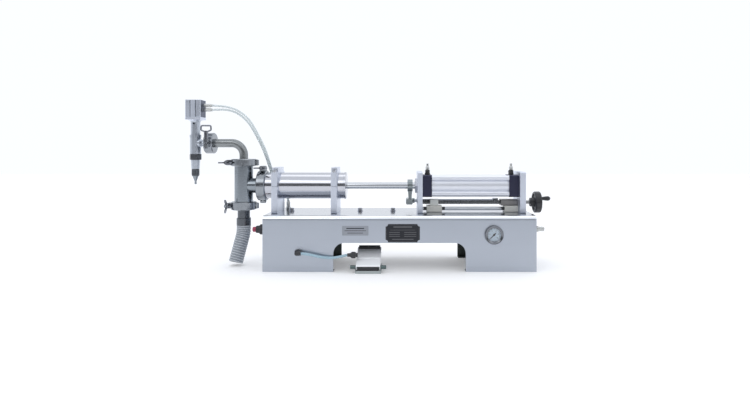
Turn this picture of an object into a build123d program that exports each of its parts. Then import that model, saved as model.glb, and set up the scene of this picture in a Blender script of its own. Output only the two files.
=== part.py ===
from build123d import *
import os
from math import pi, radians, tan

# Bench-top piston liquid filler, horizontal, 50 to 500 ml, one nozzle.
# Millimetres. X runs along the machine towards the handwheel, Y to the back, Z up.
# Everything is drawn from the middle of the base's footprint on the bench, then moved once,
# by BASE_FROM_MIDDLE, so that the origin is under the middle of the whole machine.
BASE_FROM_MIDDLE = (93.5, 12.0, 0.0)

# Base housing, a bent sheet with two end plates
BASE_LENGTH = 768.0
BASE_DEPTH = 220.0
BASE_HEIGHT = 157.0
SHEET = 3.0
TOP_EDGE_RADIUS = 13.0
FOOT_FLANGE = 25.0
ARCH_WIDTH = 371.0
ARCH_HEIGHT = 81.0
ARCH_RADIUS = 30.0
BASE_FRONT = -BASE_DEPTH / 2
BASE_END = BASE_LENGTH / 2

# Pump line: material cylinder, rod and air cylinder share one axis
AXIS_Z = 235.0
ROD_RADIUS = 10.0
RUNNING = 0.06  # radial clearance of a running fit
GAP = 0.3  # clearance between bodies that only pass each other

# Material cylinder
PUMP_OUTER = 39.0
PUMP_BORE = 33.0
PUMP_LEFT = -402.5
PUMP_RIGHT = -165.0
END_RING = 6.0
FERRULE = 6.0
GASKET = 2.0
PUMP_FERRULE = 42.0
PUMP_JOINT_X = PUMP_LEFT - FERRULE - GASKET / 2
SUPPORT_XS = (-365.0, -191.5)
SUPPORT_THICK = 17.5
SUPPORT_HALF_DEPTH = 50.0
SUPPORT_TOP = 290.0
SUPPORT_SPLIT = 1.0
SUPPORT_BOLT_Y = 44.0

# Check valve body, upright, and its branch to the material cylinder
VALVE_X = -468.0
VALVE_OUTER = 27.0
VALVE_BORE = 23.5
VALVE_FERRULE = 32.0
VALVE_BOTTOM_JOINT_Z = 175.0
VALVE_TOP_JOINT_Z = 304.0
BRANCH_OUTER = 22.5
BRANCH_BORE = 19.0
SEAT_BORE = 12.0
SEAT_HEIGHT = 8.0
INLET_SEAT_Z = 190.0
OUTLET_SEAT_Z = 268.0

# Delivery pipe to the nozzle
PIPE_OUTER = 12.5
PIPE_BORE = 11.0
PIPE_Z = 362.0
PIPE_BEND = 36.0
PIPE_FERRULE = 25.25
NOZZLE_JOINT_X = -567.5

# Nozzle, from the tee down to the tip and up to its air cylinder
NOZZLE_X = -613.0
NOZZLE_BORE = 8.0
TEE_RADIUS = 15.5
TEE_BOTTOM = 330.0
TEE_TOP = 387.0
TEE_BRANCH = 9.3
BONNET_RADIUS = 13.5
BONNET_TOP = 429.0
UNION_RADIUS = 17.0
UNION_BOTTOM = 312.0
SLEEVE_RADIUS = 13.0
SLEEVE_BOTTOM = 285.0
KNURL_RADIUS = 11.0
KNURL_BOTTOM = 264.0
TIP_SHOULDER_Z = 248.0
TIP_END_Z = 239.0
TIP_RADIUS = 3.0
TIP_BORE = 1.8
STEM_RADIUS = 4.0
NOZZLE_PLATE_Z = 432.0
SQUARE_BOTTOM = 439.0
SQUARE_TOP = 491.0
SQUARE_HALF = 23.0
SQUARE_BORE = 16.0
NOZZLE_PORT_ZS = (475.0, 462.0)
NOZZLE_PORT_END_X = -563.0

# Suction adapter and hose
SPIGOT_RADIUS = 16.3
ADAPTER_RADIUS = 18.0
COUPLING_RADIUS = 21.0
COUPLING_TOP = 138.0
COUPLING_BOTTOM = 116.0
HOSE_RADIUS = 21.5
HOSE_BORE = 16.5
HOSE_CORNER = (VALVE_X, 0.0, 96.0)
HOSE_END = (-484.0, -26.0, 10.0)
HOSE_BEND = 70.0
HOSE_STRAIGHT = 70.0

# Hygienic clamps
KNUCKLE_RADIUS = 5.5
HINGE_PIN_RADIUS = 2.4
CLAMP_BOLT_RADIUS = 3.0
SMALL_RING = 37.5
PUMP_RING = 45.0
NOZZLE_RING = 31.0

# Air cylinder, 50 bore, between two plates
AIR_FRONT_PLATE = (52.7, 67.5)
AIR_REAR_PLATE = (352.0, 369.0)
AIR_PLATE_TOP = 277.0
AIR_PLATE_HALF_DEPTH = 48.0
CAP_LENGTH = 28.0
CAP_HALF = 32.5
AIR_BORE = 25.0
TIE_OFFSET = 23.0
TIE_RADIUS = 4.0
BARREL_RADIUS = 28.5
BARREL_LOBE = 8.5
GLAND_RADIUS = 16.0
GLAND_LEFT = 46.0
BARREL_LEFT = AIR_FRONT_PLATE[1] + CAP_LENGTH
BARREL_RIGHT = AIR_REAR_PLATE[0] - CAP_LENGTH
FLOW_VALVE_XS = (84.0, 335.0)
CAP_TOP = AXIS_Z + CAP_HALF
FLOW_BODY_TOP = 281.6
FLOW_PORT_Z = CAP_TOP + 8.0
FLOW_SCREW_TOP = 301.0

# Volume setting: handwheel, lead screw, travelling sensor and end sensor
SCREW_Z = 185.0
SCREW_RADIUS = 6.2
JOURNAL_RADIUS = 5.0
GUIDE_Z = 166.0
GUIDE_RADIUS = 5.5
CARRIAGE_X = (81.0, 126.0)
NUT_X = (91.6, 115.7)
WHEEL_X = (391.0, 427.0)
WHEEL_RADIUS = 32.0
GRIP_Y = -18.0
GRIP_Z = SCREW_Z + 12.5
GRIP_END = 449.0
TRIP_Y = 30.0
TRIP_Z = 187.0
TRIP_RADIUS = 5.0
TRIP_END = 300.0

# Front panel
GAUGE = (264.6, 104.0)
GAUGE_RADIUS = 26.0
GAUGE_CASE_RADIUS = 21.0
NAME_PLATE = (-39.0, 57.0, 83.0, 134.0)
LABEL_PLATE = (-161.0, -87.0, 102.0, 129.0)
NOTCH = 7.0
PANEL_PORT = (-285.0, 54.6)

# End faces
BUTTON_Y = -60.0
BUTTON_Z = 112.0
BUTTON_TRAVEL = 4.0
INLET_Y = -60.0
INLET_Z = 113.0

# Foot pedal
PEDAL_X = (-123.0, -51.0)
PEDAL_Y = (-134.0, -34.0)
PEDAL_AXIS = (-122.0, 16.0)
PEDAL_PIN = 3.0
TRAY_HEIGHT = 8.0

# Bolts along the base's top
TOP_BOLT_XS = (-326.0, -119.0, -20.0)
TOP_BOLT_Y = 12.0

# Air tubes: outside diameters, and the routes of their centre lines
NOZZLE_TUBE = 6.0
PEDAL_TUBE = 7.5
BULKHEADS = ((-347.0, 62.0), (-351.0, 79.0))
BULKHEAD_TOP = 183.0
FRONT_TUBE_ROUTE = [
    (-563, 0, 475),
    (-541, 0.5, 474),
    (-516, 1, 471),
    (-494, 2, 464),
    (-476, 4, 453.5),
    (-460, 6, 440),
    (-447, 9, 423),
    (-437, 12, 404),
    (-427, 16, 384),
    (-417, 21, 362),
    (-409, 27, 340),
    (-403, 34, 318),
    (-398, 42, 295),
    (-392.5, 51, 270),
    (-384, 59, 246),
    (-372.5, 64, 226),
    (-359, 66, 209),
    (-350, 64, 195),
    (-347, 62, 183),
]
REAR_TUBE_ROUTE = [
    (-563, 0, 462),
    (-541, 2.5, 463.5),
    (-518, 4.5, 462.5),
    (-498, 7, 457),
    (-481, 9, 447),
    (-466, 11.5, 434),
    (-453.5, 14.5, 418),
    (-443.5, 18, 400),
    (-433.5, 22.5, 380),
    (-423.5, 28, 358),
    (-415.5, 34.5, 336),
    (-409.5, 42, 314),
    (-404, 50, 291),
    (-398, 59, 266),
    (-389.5, 67.5, 243),
    (-378, 74, 223),
    (-365, 78, 207),
    (-355, 79.5, 194),
    (-351, 79, 183),
]
PEDAL_TUBE_ROUTE = [
    (-274, -124, 54.6),
    (-252, -124, 52),
    (-228, -122.5, 46),
    (-204, -120, 41.5),
    (-182, -117, 41),
    (-162, -114.5, 44.5),
    (-146, -113, 48),
]


# ---- small shape makers ----------------------------------------------------------------------


def block(x0, x1, y0, y1, z0, z1):
    """A box between two corners."""
    middle = ((x0 + x1) / 2, (y0 + y1) / 2, (z0 + z1) / 2)
    return Pos(*middle) * Box(x1 - x0, y1 - y0, z1 - z0)


def rod_x(x0, x1, radius, y, z):
    """A cylinder along X."""
    return Pos((x0 + x1) / 2, y, z) * Rot(0, 90, 0) * Cylinder(radius, x1 - x0)


def rod_y(y0, y1, radius, x, z):
    """A cylinder along Y."""
    return Pos(x, (y0 + y1) / 2, z) * Rot(90, 0, 0) * Cylinder(radius, y1 - y0)


def rod_z(z0, z1, radius, x, y):
    """A cylinder along Z."""
    return Pos(x, y, (z0 + z1) / 2) * Cylinder(radius, z1 - z0)


def turned(profile, origin=(0, 0, 0), direction=(0, 0, 1)):
    """A lathe-turned solid: profile is a closed list of (radius, height)."""
    outline = Polyline(*[(r, 0, h) for r, h in profile], close=True)
    solid = revolve(make_face(outline), Axis.Z)
    return Plane(origin=origin, z_dir=direction).location * solid


def hexagon_x(x0, x1, across, y, z):
    """A hexagonal prism along X."""
    profile = RegularPolygon(across / 2, 6, major_radius=False)
    return extrude(Plane((x0, y, z), x_dir=(0, 1, 0), z_dir=(1, 0, 0)) * profile, x1 - x0)


def hexagon_z(z0, z1, across, x, y):
    """A hexagonal prism along Z."""
    profile = RegularPolygon(across / 2, 6, major_radius=False)
    return extrude(Plane((x, y, z0)) * profile, z1 - z0)


def side_outline(points, x0, x1):
    """A prism along X from points in the YZ plane."""
    face = make_face(Polyline(*[(0, y, z) for y, z in points], close=True))
    return Pos(x0, 0, 0) * extrude(face, amount=x1 - x0, dir=(1, 0, 0))


def rounded_box(x0, x1, y0, y1, z0, z1, radius, axis):
    """A box whose edges along one axis are rounded."""
    solid = block(x0, x1, y0, y1, z0, z1)
    return fillet(solid.edges().filter_by(axis), radius)


# ---- base -----------------------------------------------------------------------------------


def base_section(inset, bottom):
    """The base's section, rounded at its two long top edges, as a prism along X."""
    radius = TOP_EDGE_RADIUS - inset
    solid = block(
        -BASE_END, BASE_END, BASE_FRONT + inset, -BASE_FRONT - inset, bottom, BASE_HEIGHT - inset
    )
    top_edges = solid.edges().filter_by(Axis.X).sort_by(Axis.Z)[-2:]
    return fillet(top_edges, radius)


def arch_cut():
    """The opening between the legs, through the front and back panels."""
    half = ARCH_WIDTH / 2
    solid = block(-half, half, BASE_FRONT - 10, -BASE_FRONT + 10, -ARCH_RADIUS, ARCH_HEIGHT)
    top_edges = solid.edges().filter_by(Axis.Y).sort_by(Axis.Z)[-2:]
    return fillet(top_edges, ARCH_RADIUS)


def base_housing():
    shell = base_section(0, 0) - base_section(SHEET, SHEET)
    shell -= block(
        -BASE_END, BASE_END, BASE_FRONT + FOOT_FLANGE, -BASE_FRONT - FOOT_FLANGE, -1, SHEET + 1
    )
    shell -= arch_cut()
    shell -= rod_y(BASE_FRONT - 1, BASE_FRONT + SHEET + 1, GAUGE_CASE_RADIUS + 0.2, *GAUGE)
    shell -= rod_y(BASE_FRONT - 1, BASE_FRONT + SHEET + 1, 6.2, *PANEL_PORT)
    for x, y in BULKHEADS:
        shell -= rod_z(BASE_HEIGHT - SHEET - 1, BASE_HEIGHT + 1, 5.2, x, y)
    for x in TOP_BOLT_XS:
        shell -= rod_z(BASE_HEIGHT - SHEET - 1, BASE_HEIGHT + 1, 4.2, x, TOP_BOLT_Y)
    inside = base_section(SHEET, SHEET)
    left = inside & block(-BASE_END, -BASE_END + SHEET, -200, 200, 0, 200)
    right = inside & block(BASE_END - SHEET, BASE_END, -200, 200, 0, 200)
    left -= rod_x(-BASE_END - 1, -BASE_END + SHEET + 1, 8.2, BUTTON_Y, BUTTON_Z)
    right -= rod_x(BASE_END - SHEET - 1, BASE_END + 1, 7.2, INLET_Y, INLET_Z)
    return [shell, left, right]


def control_valve():
    """Valve block under the base's top: manifold, two valve bodies and their end covers."""
    top = BASE_HEIGHT - SHEET
    manifold = block(232, 328, 0, 44, top - 12, top)
    bodies = []
    for x in (248, 282):
        body = rounded_box(x - 13, x + 13, -6, 50, top - 40, top - 12, 3, Axis.Y)
        bodies.append(body)
        bodies.append(rounded_box(x - 11, x + 11, 50, 66, top - 37, top - 15, 3, Axis.Y))
    return [manifold] + bodies


def cap_screw(x, y, z, radius, length):
    """Socket head cap screw, head up, seated at z."""
    head = rod_z(z, z + 1.9 * radius, 1.7 * radius, x, y)
    head -= hexagon_z(z + radius, z + 3 * radius, 1.5 * radius, x, y)
    return head + rod_z(z - length, z, radius, x, y)


def screws():
    """Three bolts along the base's top, four clamp bolts on the supports, and the gland nut."""
    pieces = []
    for x in TOP_BOLT_XS:
        washer = rod_z(BASE_HEIGHT, BASE_HEIGHT + 1.6, 8.5, x, TOP_BOLT_Y)
        pieces.append(washer + cap_screw(x, TOP_BOLT_Y, BASE_HEIGHT + 1.6, 4.0, 14))
    for x in SUPPORT_XS:
        for y in (-SUPPORT_BOLT_Y, SUPPORT_BOLT_Y):
            pieces.append(cap_screw(x, y, SUPPORT_TOP - 14, 3.5, 70))
    nut = hexagon_x(GLAND_LEFT + 0.5, AIR_FRONT_PLATE[0], 42, 0, AXIS_Z)
    pieces.append(nut - rod_x(GLAND_LEFT, AIR_FRONT_PLATE[0] + 1, GLAND_RADIUS, 0, AXIS_Z))
    return pieces


# ---- pump ------------------------------------------------------------------------------------


def cylinder_supports():
    """Two split clamp plates: a lower half on the base and a cap, bored for the cylinder."""
    pieces = []
    for x in SUPPORT_XS:
        x0, x1 = x - SUPPORT_THICK / 2, x + SUPPORT_THICK / 2
        plate = rounded_box(
            x0, x1, -SUPPORT_HALF_DEPTH, SUPPORT_HALF_DEPTH, BASE_HEIGHT, SUPPORT_TOP, 4, Axis.X
        )
        plate -= rod_x(x0 - 1, x1 + 1, PUMP_OUTER, 0, AXIS_Z)
        for y in (-SUPPORT_BOLT_Y, SUPPORT_BOLT_Y):
            side = 1 if y > 0 else -1
            plate -= rod_z(SUPPORT_TOP - 85, SUPPORT_TOP + 1, 3.6, x, y)
            shelf_in, shelf_out = sorted((side * 37, side * 60))
            plate -= block(x0 - 1, x1 + 1, shelf_in, shelf_out, SUPPORT_TOP - 14, SUPPORT_TOP + 5)
        half_gap = SUPPORT_SPLIT / 2
        pieces.append(plate & block(x0 - 5, x1 + 5, -60, 60, 100, AXIS_Z - half_gap))
        pieces.append(plate & block(x0 - 5, x1 + 5, -60, 60, AXIS_Z + half_gap, 300))
    return pieces


def material_cylinder():
    """Tube with its clamp ferrule at the left, and the ring that guides the rod at the right."""
    tube = turned(
        [
            (PUMP_BORE, 0),
            (PUMP_FERRULE, 0),
            (PUMP_FERRULE, 3),
            (PUMP_OUTER, FERRULE),
            (PUMP_OUTER, PUMP_RIGHT - PUMP_LEFT + FERRULE),
            (PUMP_BORE, PUMP_RIGHT - PUMP_LEFT + FERRULE),
        ],
        (PUMP_LEFT - FERRULE, 0, AXIS_Z),
        (1, 0, 0),
    )
    ring = turned(
        [
            (ROD_RADIUS + RUNNING, -4),
            (PUMP_BORE, -4),
            (PUMP_BORE, 0),
            (PUMP_OUTER + 1, 0),
            (PUMP_OUTER + 1, END_RING - 1),
            (PUMP_OUTER, END_RING),
            (ROD_RADIUS + RUNNING, END_RING),
        ],
        (PUMP_RIGHT, 0, AXIS_Z),
        (1, 0, 0),
    )
    return [tube, ring]


def pistons():
    """Material piston, with two seal lips, and the air piston, both in their retracted place."""
    material = turned(
        [
            (ROD_RADIUS, 0),
            (PUMP_BORE - 2.5, 0),
            (PUMP_BORE - RUNNING, 2.5),
            (PUMP_BORE - RUNNING, 7),
            (PUMP_BORE - 2, 8),
            (PUMP_BORE - 2, 12),
            (PUMP_BORE - RUNNING, 13),
            (PUMP_BORE - RUNNING, 18),
            (PUMP_BORE - 1, 20),
            (ROD_RADIUS, 20),
        ],
        (PUMP_RIGHT - 28, 0, AXIS_Z),
        (1, 0, 0),
    )
    air = turned(
        [
            (ROD_RADIUS, 0),
            (AIR_BORE - 1, 0),
            (AIR_BORE - RUNNING, 1),
            (AIR_BORE - RUNNING, 8),
            (AIR_BORE - 2, 9),
            (AIR_BORE - 2, 16),
            (AIR_BORE - RUNNING, 17),
            (AIR_BORE - RUNNING, 24),
            (AIR_BORE - 1, 25),
            (ROD_RADIUS, 25),
        ],
        (BARREL_RIGHT - 28, 0, AXIS_Z),
        (1, 0, 0),
    )
    return [material, air]


def piston_rod():
    """One rod through the end ring and the gland, with a nut at each piston."""
    left = PUMP_RIGHT - 33
    shaft = rod_x(left, BARREL_RIGHT - 2.5, ROD_RADIUS, 0, AXIS_Z)
    return shaft + hexagon_x(left, left + 5, 24, 0, AXIS_Z)


def striker_arm():
    """Split collar on the rod, with a tapering stem to the foot that pushes the trip rod."""
    collar = rod_x(24, 39, 18, 0, AXIS_Z)
    outline = [(24, AXIS_Z), (39, AXIS_Z), (35.5, 190), (27.5, 190)]
    face = make_face(Polyline(*[(x, 0, z) for x, z in outline], close=True))
    stem = extrude(face, amount=9, both=True, dir=(0, 1, 0))
    foot = rounded_box(19.5, 39, -14, TRIP_Y + 9, 179, 195, 3, Axis.Y)
    boss = rod_x(38, 46, 7.5, TRIP_Y, TRIP_Z)
    slot = block(20, 45, -1, 1, AXIS_Z + 5, 260)
    arm = collar + stem + foot + boss - slot - rod_x(0, 60, ROD_RADIUS, 0, AXIS_Z)
    return arm - rod_x(30, 60, TRIP_RADIUS, TRIP_Y, TRIP_Z)


def trip_rod():
    """Rod beside the lead screw, with the dog that the two sensors see."""
    shaft = rod_x(30, TRIP_END, TRIP_RADIUS, TRIP_Y, TRIP_Z)
    dog = rounded_box(TRIP_END - 16, TRIP_END, TRIP_Y - 8, TRIP_Y + 8, TRIP_Z - 8, TRIP_Z + 8, 2, Axis.X)
    return shaft + dog


# ---- check valve, delivery pipe and nozzle ---------------------------------------------------


def valve_body():
    """Upright tube with a ferrule at each end and the flanged branch to the cylinder."""
    low = VALVE_BOTTOM_JOINT_Z + GASKET / 2
    high = VALVE_TOP_JOINT_Z - GASKET / 2
    height = high - low
    outer = turned(
        [
            (0, 0),
            (VALVE_FERRULE, 0),
            (VALVE_FERRULE, 3),
            (VALVE_OUTER, FERRULE),
            (VALVE_OUTER, height - FERRULE),
            (VALVE_FERRULE, height - 3),
            (VALVE_FERRULE, height),
            (0, height),
        ],
        (VALVE_X, 0, low),
    )
    face = PUMP_JOINT_X - GASKET / 2
    reach = face - VALVE_X
    branch = turned(
        [
            (0, 0),
            (BRANCH_OUTER, 0),
            (BRANCH_OUTER, reach - FERRULE - 4),
            (BRANCH_OUTER + 5, reach - FERRULE),
            (PUMP_FERRULE, reach - 3),
            (PUMP_FERRULE, reach),
            (0, reach),
        ],
        (VALVE_X, 0, AXIS_Z),
        (1, 0, 0),
    )
    body = outer + branch
    body -= rod_z(low - 1, high + 1, VALVE_BORE, VALVE_X, 0)
    return body - rod_x(VALVE_X, face + 1, BRANCH_BORE, 0, AXIS_Z)


def valve_seats():
    """Two seat rings pressed into the valve body."""
    seats = []
    for z in (INLET_SEAT_Z, OUTLET_SEAT_Z):
        ring = rod_z(z, z + SEAT_HEIGHT, VALVE_BORE, VALVE_X, 0)
        seats.append(ring - rod_z(z - 1, z + SEAT_HEIGHT + 1, SEAT_BORE, VALVE_X, 0))
    return seats


def poppet(seat_z):
    """Wing-guided check disc that rests on its seat and lifts with the flow."""
    base = seat_z + SEAT_HEIGHT + GAP
    disc = turned([(0, 0), (15.5, 0), (16, 1), (16, 4), (5, 7), (0, 7)], (VALVE_X, 0, base))
    reach = SEAT_BORE - RUNNING
    for turn in (0, 90):
        wing = Rot(0, 0, turn) * Box(2 * reach - 0.2, 2.4, 10)
        disc += Pos(VALVE_X, 0, base - 5) * wing
    return disc


def delivery_pipe():
    """Pipe from the valve body's top, up and round one bend to the nozzle."""
    start = VALVE_TOP_JOINT_Z + GASKET / 2
    end = NOZZLE_JOINT_X + GASKET / 2
    path = FilletPolyline((VALVE_X, 0, start), (VALVE_X, 0, PIPE_Z), (end, 0, PIPE_Z), radius=PIPE_BEND)
    outer = sweep(Plane(path @ 0, z_dir=path % 0) * Circle(PIPE_OUTER), path=path)
    inner = sweep(Plane(path @ 0, z_dir=path % 0) * Circle(PIPE_BORE), path=path)
    lower = turned(
        [
            (0, 0),
            (VALVE_FERRULE, 0),
            (VALVE_FERRULE, 3),
            (PIPE_OUTER + 8, FERRULE),
            (PIPE_OUTER, FERRULE + 5),
            (0, FERRULE + 5),
        ],
        (VALVE_X, 0, start),
    )
    upper = turned(
        [(0, 0), (PIPE_FERRULE, 0), (PIPE_FERRULE, 3), (PIPE_OUTER, FERRULE), (0, FERRULE)],
        (end, 0, PIPE_Z),
        (1, 0, 0),
    )
    return outer + lower + upper - inner


def nozzle_tee():
    """Upright tee body with the flanged branch that the delivery pipe clamps to."""
    body = rod_z(TEE_BOTTOM, TEE_TOP, TEE_RADIUS, NOZZLE_X, 0)
    body += rod_z(TEE_TOP - 8, TEE_TOP, TEE_RADIUS + 1, NOZZLE_X, 0)
    face = NOZZLE_JOINT_X - GASKET / 2
    reach = face - NOZZLE_X
    body += turned(
        [
            (0, 0),
            (TEE_BRANCH + 4, 0),
            (TEE_BRANCH + 4, TEE_RADIUS),
            (TEE_BRANCH, TEE_RADIUS + 6),
            (TEE_BRANCH, reach - FERRULE - 2),
            (TEE_BRANCH + 4, reach - FERRULE),
            (PIPE_FERRULE, reach - 3),
            (PIPE_FERRULE, reach),
            (0, reach),
        ],
        (NOZZLE_X, 0, PIPE_Z),
        (1, 0, 0),
    )
    body -= rod_z(TEE_BOTTOM - 1, TEE_TOP + 1, NOZZLE_BORE, NOZZLE_X, 0)
    return body - rod_x(NOZZLE_X, face + 1, TEE_BRANCH - 2, 0, PIPE_Z)


def nozzle_bonnet():
    """Bonnet with the stem gland at its foot and a window near its top."""
    bonnet = turned(
        [
            (STEM_RADIUS + RUNNING, 0),
            (BONNET_RADIUS, 0),
            (BONNET_RADIUS, BONNET_TOP - TEE_TOP - 4),
            (BONNET_RADIUS + 2, BONNET_TOP - TEE_TOP),
            (9, BONNET_TOP - TEE_TOP),
            (9, 14),
            (STEM_RADIUS + RUNNING, 14),
        ],
        (NOZZLE_X, 0, TEE_TOP),
    )
    window = rod_y(-30, 30, 3.2, NOZZLE_X, 421)
    return bonnet - window


def nozzle_nuts():
    """Hexagonal union nut under the tee, and the knurled nut that holds the tip."""
    union = hexagon_z(UNION_BOTTOM, TEE_BOTTOM, 2 * UNION_RADIUS - 3, NOZZLE_X, 0)
    union -= rod_z(UNION_BOTTOM - 1, TEE_BOTTOM + 1, SLEEVE_RADIUS - 1, NOZZLE_X, 0)
    knurled = turned(
        [
            (KNURL_RADIUS - 3, 0),
            (KNURL_RADIUS - 1, 0),
            (KNURL_RADIUS, 1.5),
            (KNURL_RADIUS, SLEEVE_BOTTOM - KNURL_BOTTOM - 1.5),
            (KNURL_RADIUS - 1, SLEEVE_BOTTOM - KNURL_BOTTOM),
            (KNURL_RADIUS - 3, SLEEVE_BOTTOM - KNURL_BOTTOM),
        ],
        (NOZZLE_X, 0, KNURL_BOTTOM),
    )
    return [union, knurled]


def nozzle_sleeve():
    """Tapering sleeve from inside the union nut down to the knurled nut."""
    return turned(
        [
            (NOZZLE_BORE, 0),
            (SLEEVE_RADIUS - 1.5, 0),
            (SLEEVE_RADIUS, UNION_BOTTOM - SLEEVE_BOTTOM),
            (SLEEVE_RADIUS - 1, UNION_BOTTOM - SLEEVE_BOTTOM),
            (SLEEVE_RADIUS - 1, TEE_BOTTOM - SLEEVE_BOTTOM),
            (NOZZLE_BORE, TEE_BOTTOM - SLEEVE_BOTTOM),
        ],
        (NOZZLE_X, 0, SLEEVE_BOTTOM),
    )


def nozzle_tip():
    """Outlet cone with its seat inside, held by the knurled nut, and the small end tube."""
    shoulder = TIP_SHOULDER_Z - TIP_END_Z
    cone_top = KNURL_BOTTOM - TIP_END_Z
    return turned(
        [
            (TIP_BORE, 0),
            (TIP_RADIUS, 0),
            (TIP_RADIUS, shoulder),
            (9, cone_top),
            (KNURL_RADIUS - 3, cone_top),
            (KNURL_RADIUS - 3, SLEEVE_BOTTOM - TIP_END_Z),
            (6, SLEEVE_BOTTOM - TIP_END_Z),
            (6, cone_top + 2),
            (TIP_BORE, shoulder + 8),
        ],
        (NOZZLE_X, 0, TIP_END_Z),
    )


def nozzle_plunger():
    """Shut-off plunger: plug in the tip, stem through the gland, and the air piston on top."""
    seat = KNURL_BOTTOM + 4 - TIP_END_Z
    piston = SQUARE_BOTTOM + 8 - TIP_END_Z
    return turned(
        [
            (0, seat - 8),
            (2, seat - 8),
            (5.4, seat),
            (5.4, seat + 10),
            (STEM_RADIUS, seat + 14),
            (STEM_RADIUS, piston),
            (SQUARE_BORE - RUNNING, piston),
            (SQUARE_BORE - RUNNING, piston + 11),
            (0, piston + 11),
        ],
        (NOZZLE_X, 0, TIP_END_Z),
    )


def nozzle_air_cylinder():
    """Compact square cylinder, four screws on top, on a plate that tapers to the bonnet."""
    x0, x1 = NOZZLE_X - SQUARE_HALF, NOZZLE_X + SQUARE_HALF
    body = rounded_box(x0, x1, -SQUARE_HALF, SQUARE_HALF, SQUARE_BOTTOM, SQUARE_TOP, 3, Axis.Z)
    body -= rod_z(SQUARE_BOTTOM + 7, SQUARE_TOP - 8, SQUARE_BORE, NOZZLE_X, 0)
    body -= rod_z(SQUARE_BOTTOM - 1, SQUARE_TOP - 12, STEM_RADIUS + RUNNING, NOZZLE_X, 0)
    for dx in (-17, 17):
        for y in (-17, 17):
            body -= rod_z(SQUARE_TOP - 5, SQUARE_TOP + 1, 3.5, NOZZLE_X + dx, y)
    plate = rounded_box(
        x0 - 0.5, x1 + 0.5, -SQUARE_HALF - 0.5, SQUARE_HALF + 0.5, NOZZLE_PLATE_Z, SQUARE_BOTTOM, 3, Axis.Z
    )
    plate += turned([(0, 0), (17, 0), (20, 3), (0, 3)], (NOZZLE_X, 0, BONNET_TOP))
    plate -= rod_z(BONNET_TOP - 1, SQUARE_BOTTOM + 1, STEM_RADIUS + 0.5, NOZZLE_X, 0)
    return [body, plate]


def suction_adapter():
    """Flanged adapter with its spigot, and the coupling that holds the hose."""
    top = VALVE_BOTTOM_JOINT_Z - GASKET / 2
    adapter = turned(
        [
            (13, 0),
            (SPIGOT_RADIUS, 0),
            (SPIGOT_RADIUS, COUPLING_TOP - 106),
            (ADAPTER_RADIUS, COUPLING_TOP - 106),
            (ADAPTER_RADIUS, top - FERRULE - 106),
            (VALVE_FERRULE, top - 3 - 106),
            (VALVE_FERRULE, top - 106),
            (13, top - 106),
        ],
        (VALVE_X, 0, 106),
    )
    coupling = rod_z(COUPLING_BOTTOM, COUPLING_TOP, COUPLING_RADIUS, VALVE_X, 0)
    coupling -= rod_z(COUPLING_BOTTOM - 1, COUPLING_TOP + 1, SPIGOT_RADIUS, VALVE_X, 0)
    return [adapter, coupling]


def suction_hose():
    """Stiff ribbed hose stub, pushed over the spigot and leaning to its cut end."""
    up = (Vector(*HOSE_CORNER) - Vector(*HOSE_END)).normalized()
    joint = Vector(*HOSE_END) + up * HOSE_STRAIGHT
    path = FilletPolyline((VALVE_X, 0, COUPLING_BOTTOM), HOSE_CORNER, tuple(joint), radius=HOSE_BEND)
    start = Plane(path @ 0, z_dir=path % 0)
    upper = sweep(start * Circle(HOSE_RADIUS), path=path) - sweep(start * Circle(HOSE_BORE), path=path)
    wall = [
        (HOSE_BORE, 0),
        (HOSE_RADIUS, 0),
        (HOSE_RADIUS, HOSE_STRAIGHT),
        (HOSE_BORE, HOSE_STRAIGHT),
    ]
    return upper + turned(wall, HOSE_END, tuple(up))


# ---- hygienic clamps -------------------------------------------------------------------------


def clamp_place(point, axis, lug):
    """Local frame of a clamp: Z along the pipe, X to the bolt's lugs, nut on the +Y side."""
    return Plane(origin=point, x_dir=lug, z_dir=axis).location


def side_block(x0, x1, side, near, far, z0, z1):
    """A box on one side of the clamp's split, side being -1 or 1."""
    return block(x0, x1, min(side * near, side * far), max(side * near, side * far), z0, z1)


def clamp(place, ferrule, ring, half_width, necks):
    """Two half rings with hinge knuckles and lugs, the hinge pin and the bolt."""
    low_neck, high_neck = necks
    groove = FERRULE + GASKET / 2 + 0.2
    rim = ferrule + 0.2
    wedge = [(low_neck, -groove), (rim, -4), (rim, 4), (high_neck, groove)]
    outside = [
        (high_neck, half_width),
        (ring - 2, half_width),
        (ring, half_width - 2),
        (ring, -half_width + 2),
        (ring - 2, -half_width),
        (low_neck, -half_width),
    ]
    body = turned(wedge + outside)
    hollow = turned([(0, -groove)] + wedge + [(0, groove)])
    hollow += rod_z(-50, 0, low_neck, 0, 0)
    hollow += rod_z(0, 50, high_neck, 0, 0)
    hinge_x = -(ring + 2.5)
    bolt_x = ring + 8
    halves = []
    for side in (-1, 1):
        half = body & side_block(-100, 100, side, 0.8, 100, -50, 50)
        lug = side_block(ring - 4, bolt_x + 6, side, 2, 12, -8, 8)
        half += fillet(lug.edges().filter_by(Axis.Y).group_by(Axis.X)[-1], 5)
        spans = [(-3, 3)] if side > 0 else [(-8, -3.2), (3.2, 8)]
        for low, high in spans:
            half += rod_z(low, high, KNUCKLE_RADIUS, hinge_x, 0)
            half += side_block(hinge_x, hinge_x + 9, side, 0, KNUCKLE_RADIUS, low, high)
        half -= rod_z(-20, 20, HINGE_PIN_RADIUS, hinge_x, 0)
        half -= hollow
        half -= rod_y(-20, 20, CLAMP_BOLT_RADIUS + 0.3, bolt_x, 0)
        halves.append(half)
    pin = rod_z(-9, 9, HINGE_PIN_RADIUS, hinge_x, 0)
    bolt = rod_y(-12.2, 30, CLAMP_BOLT_RADIUS, bolt_x, 0)
    bolt += rod_y(-17, -12.2, 5.5, bolt_x, 0)
    return [place * piece for piece in halves + [pin, bolt]]


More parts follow.
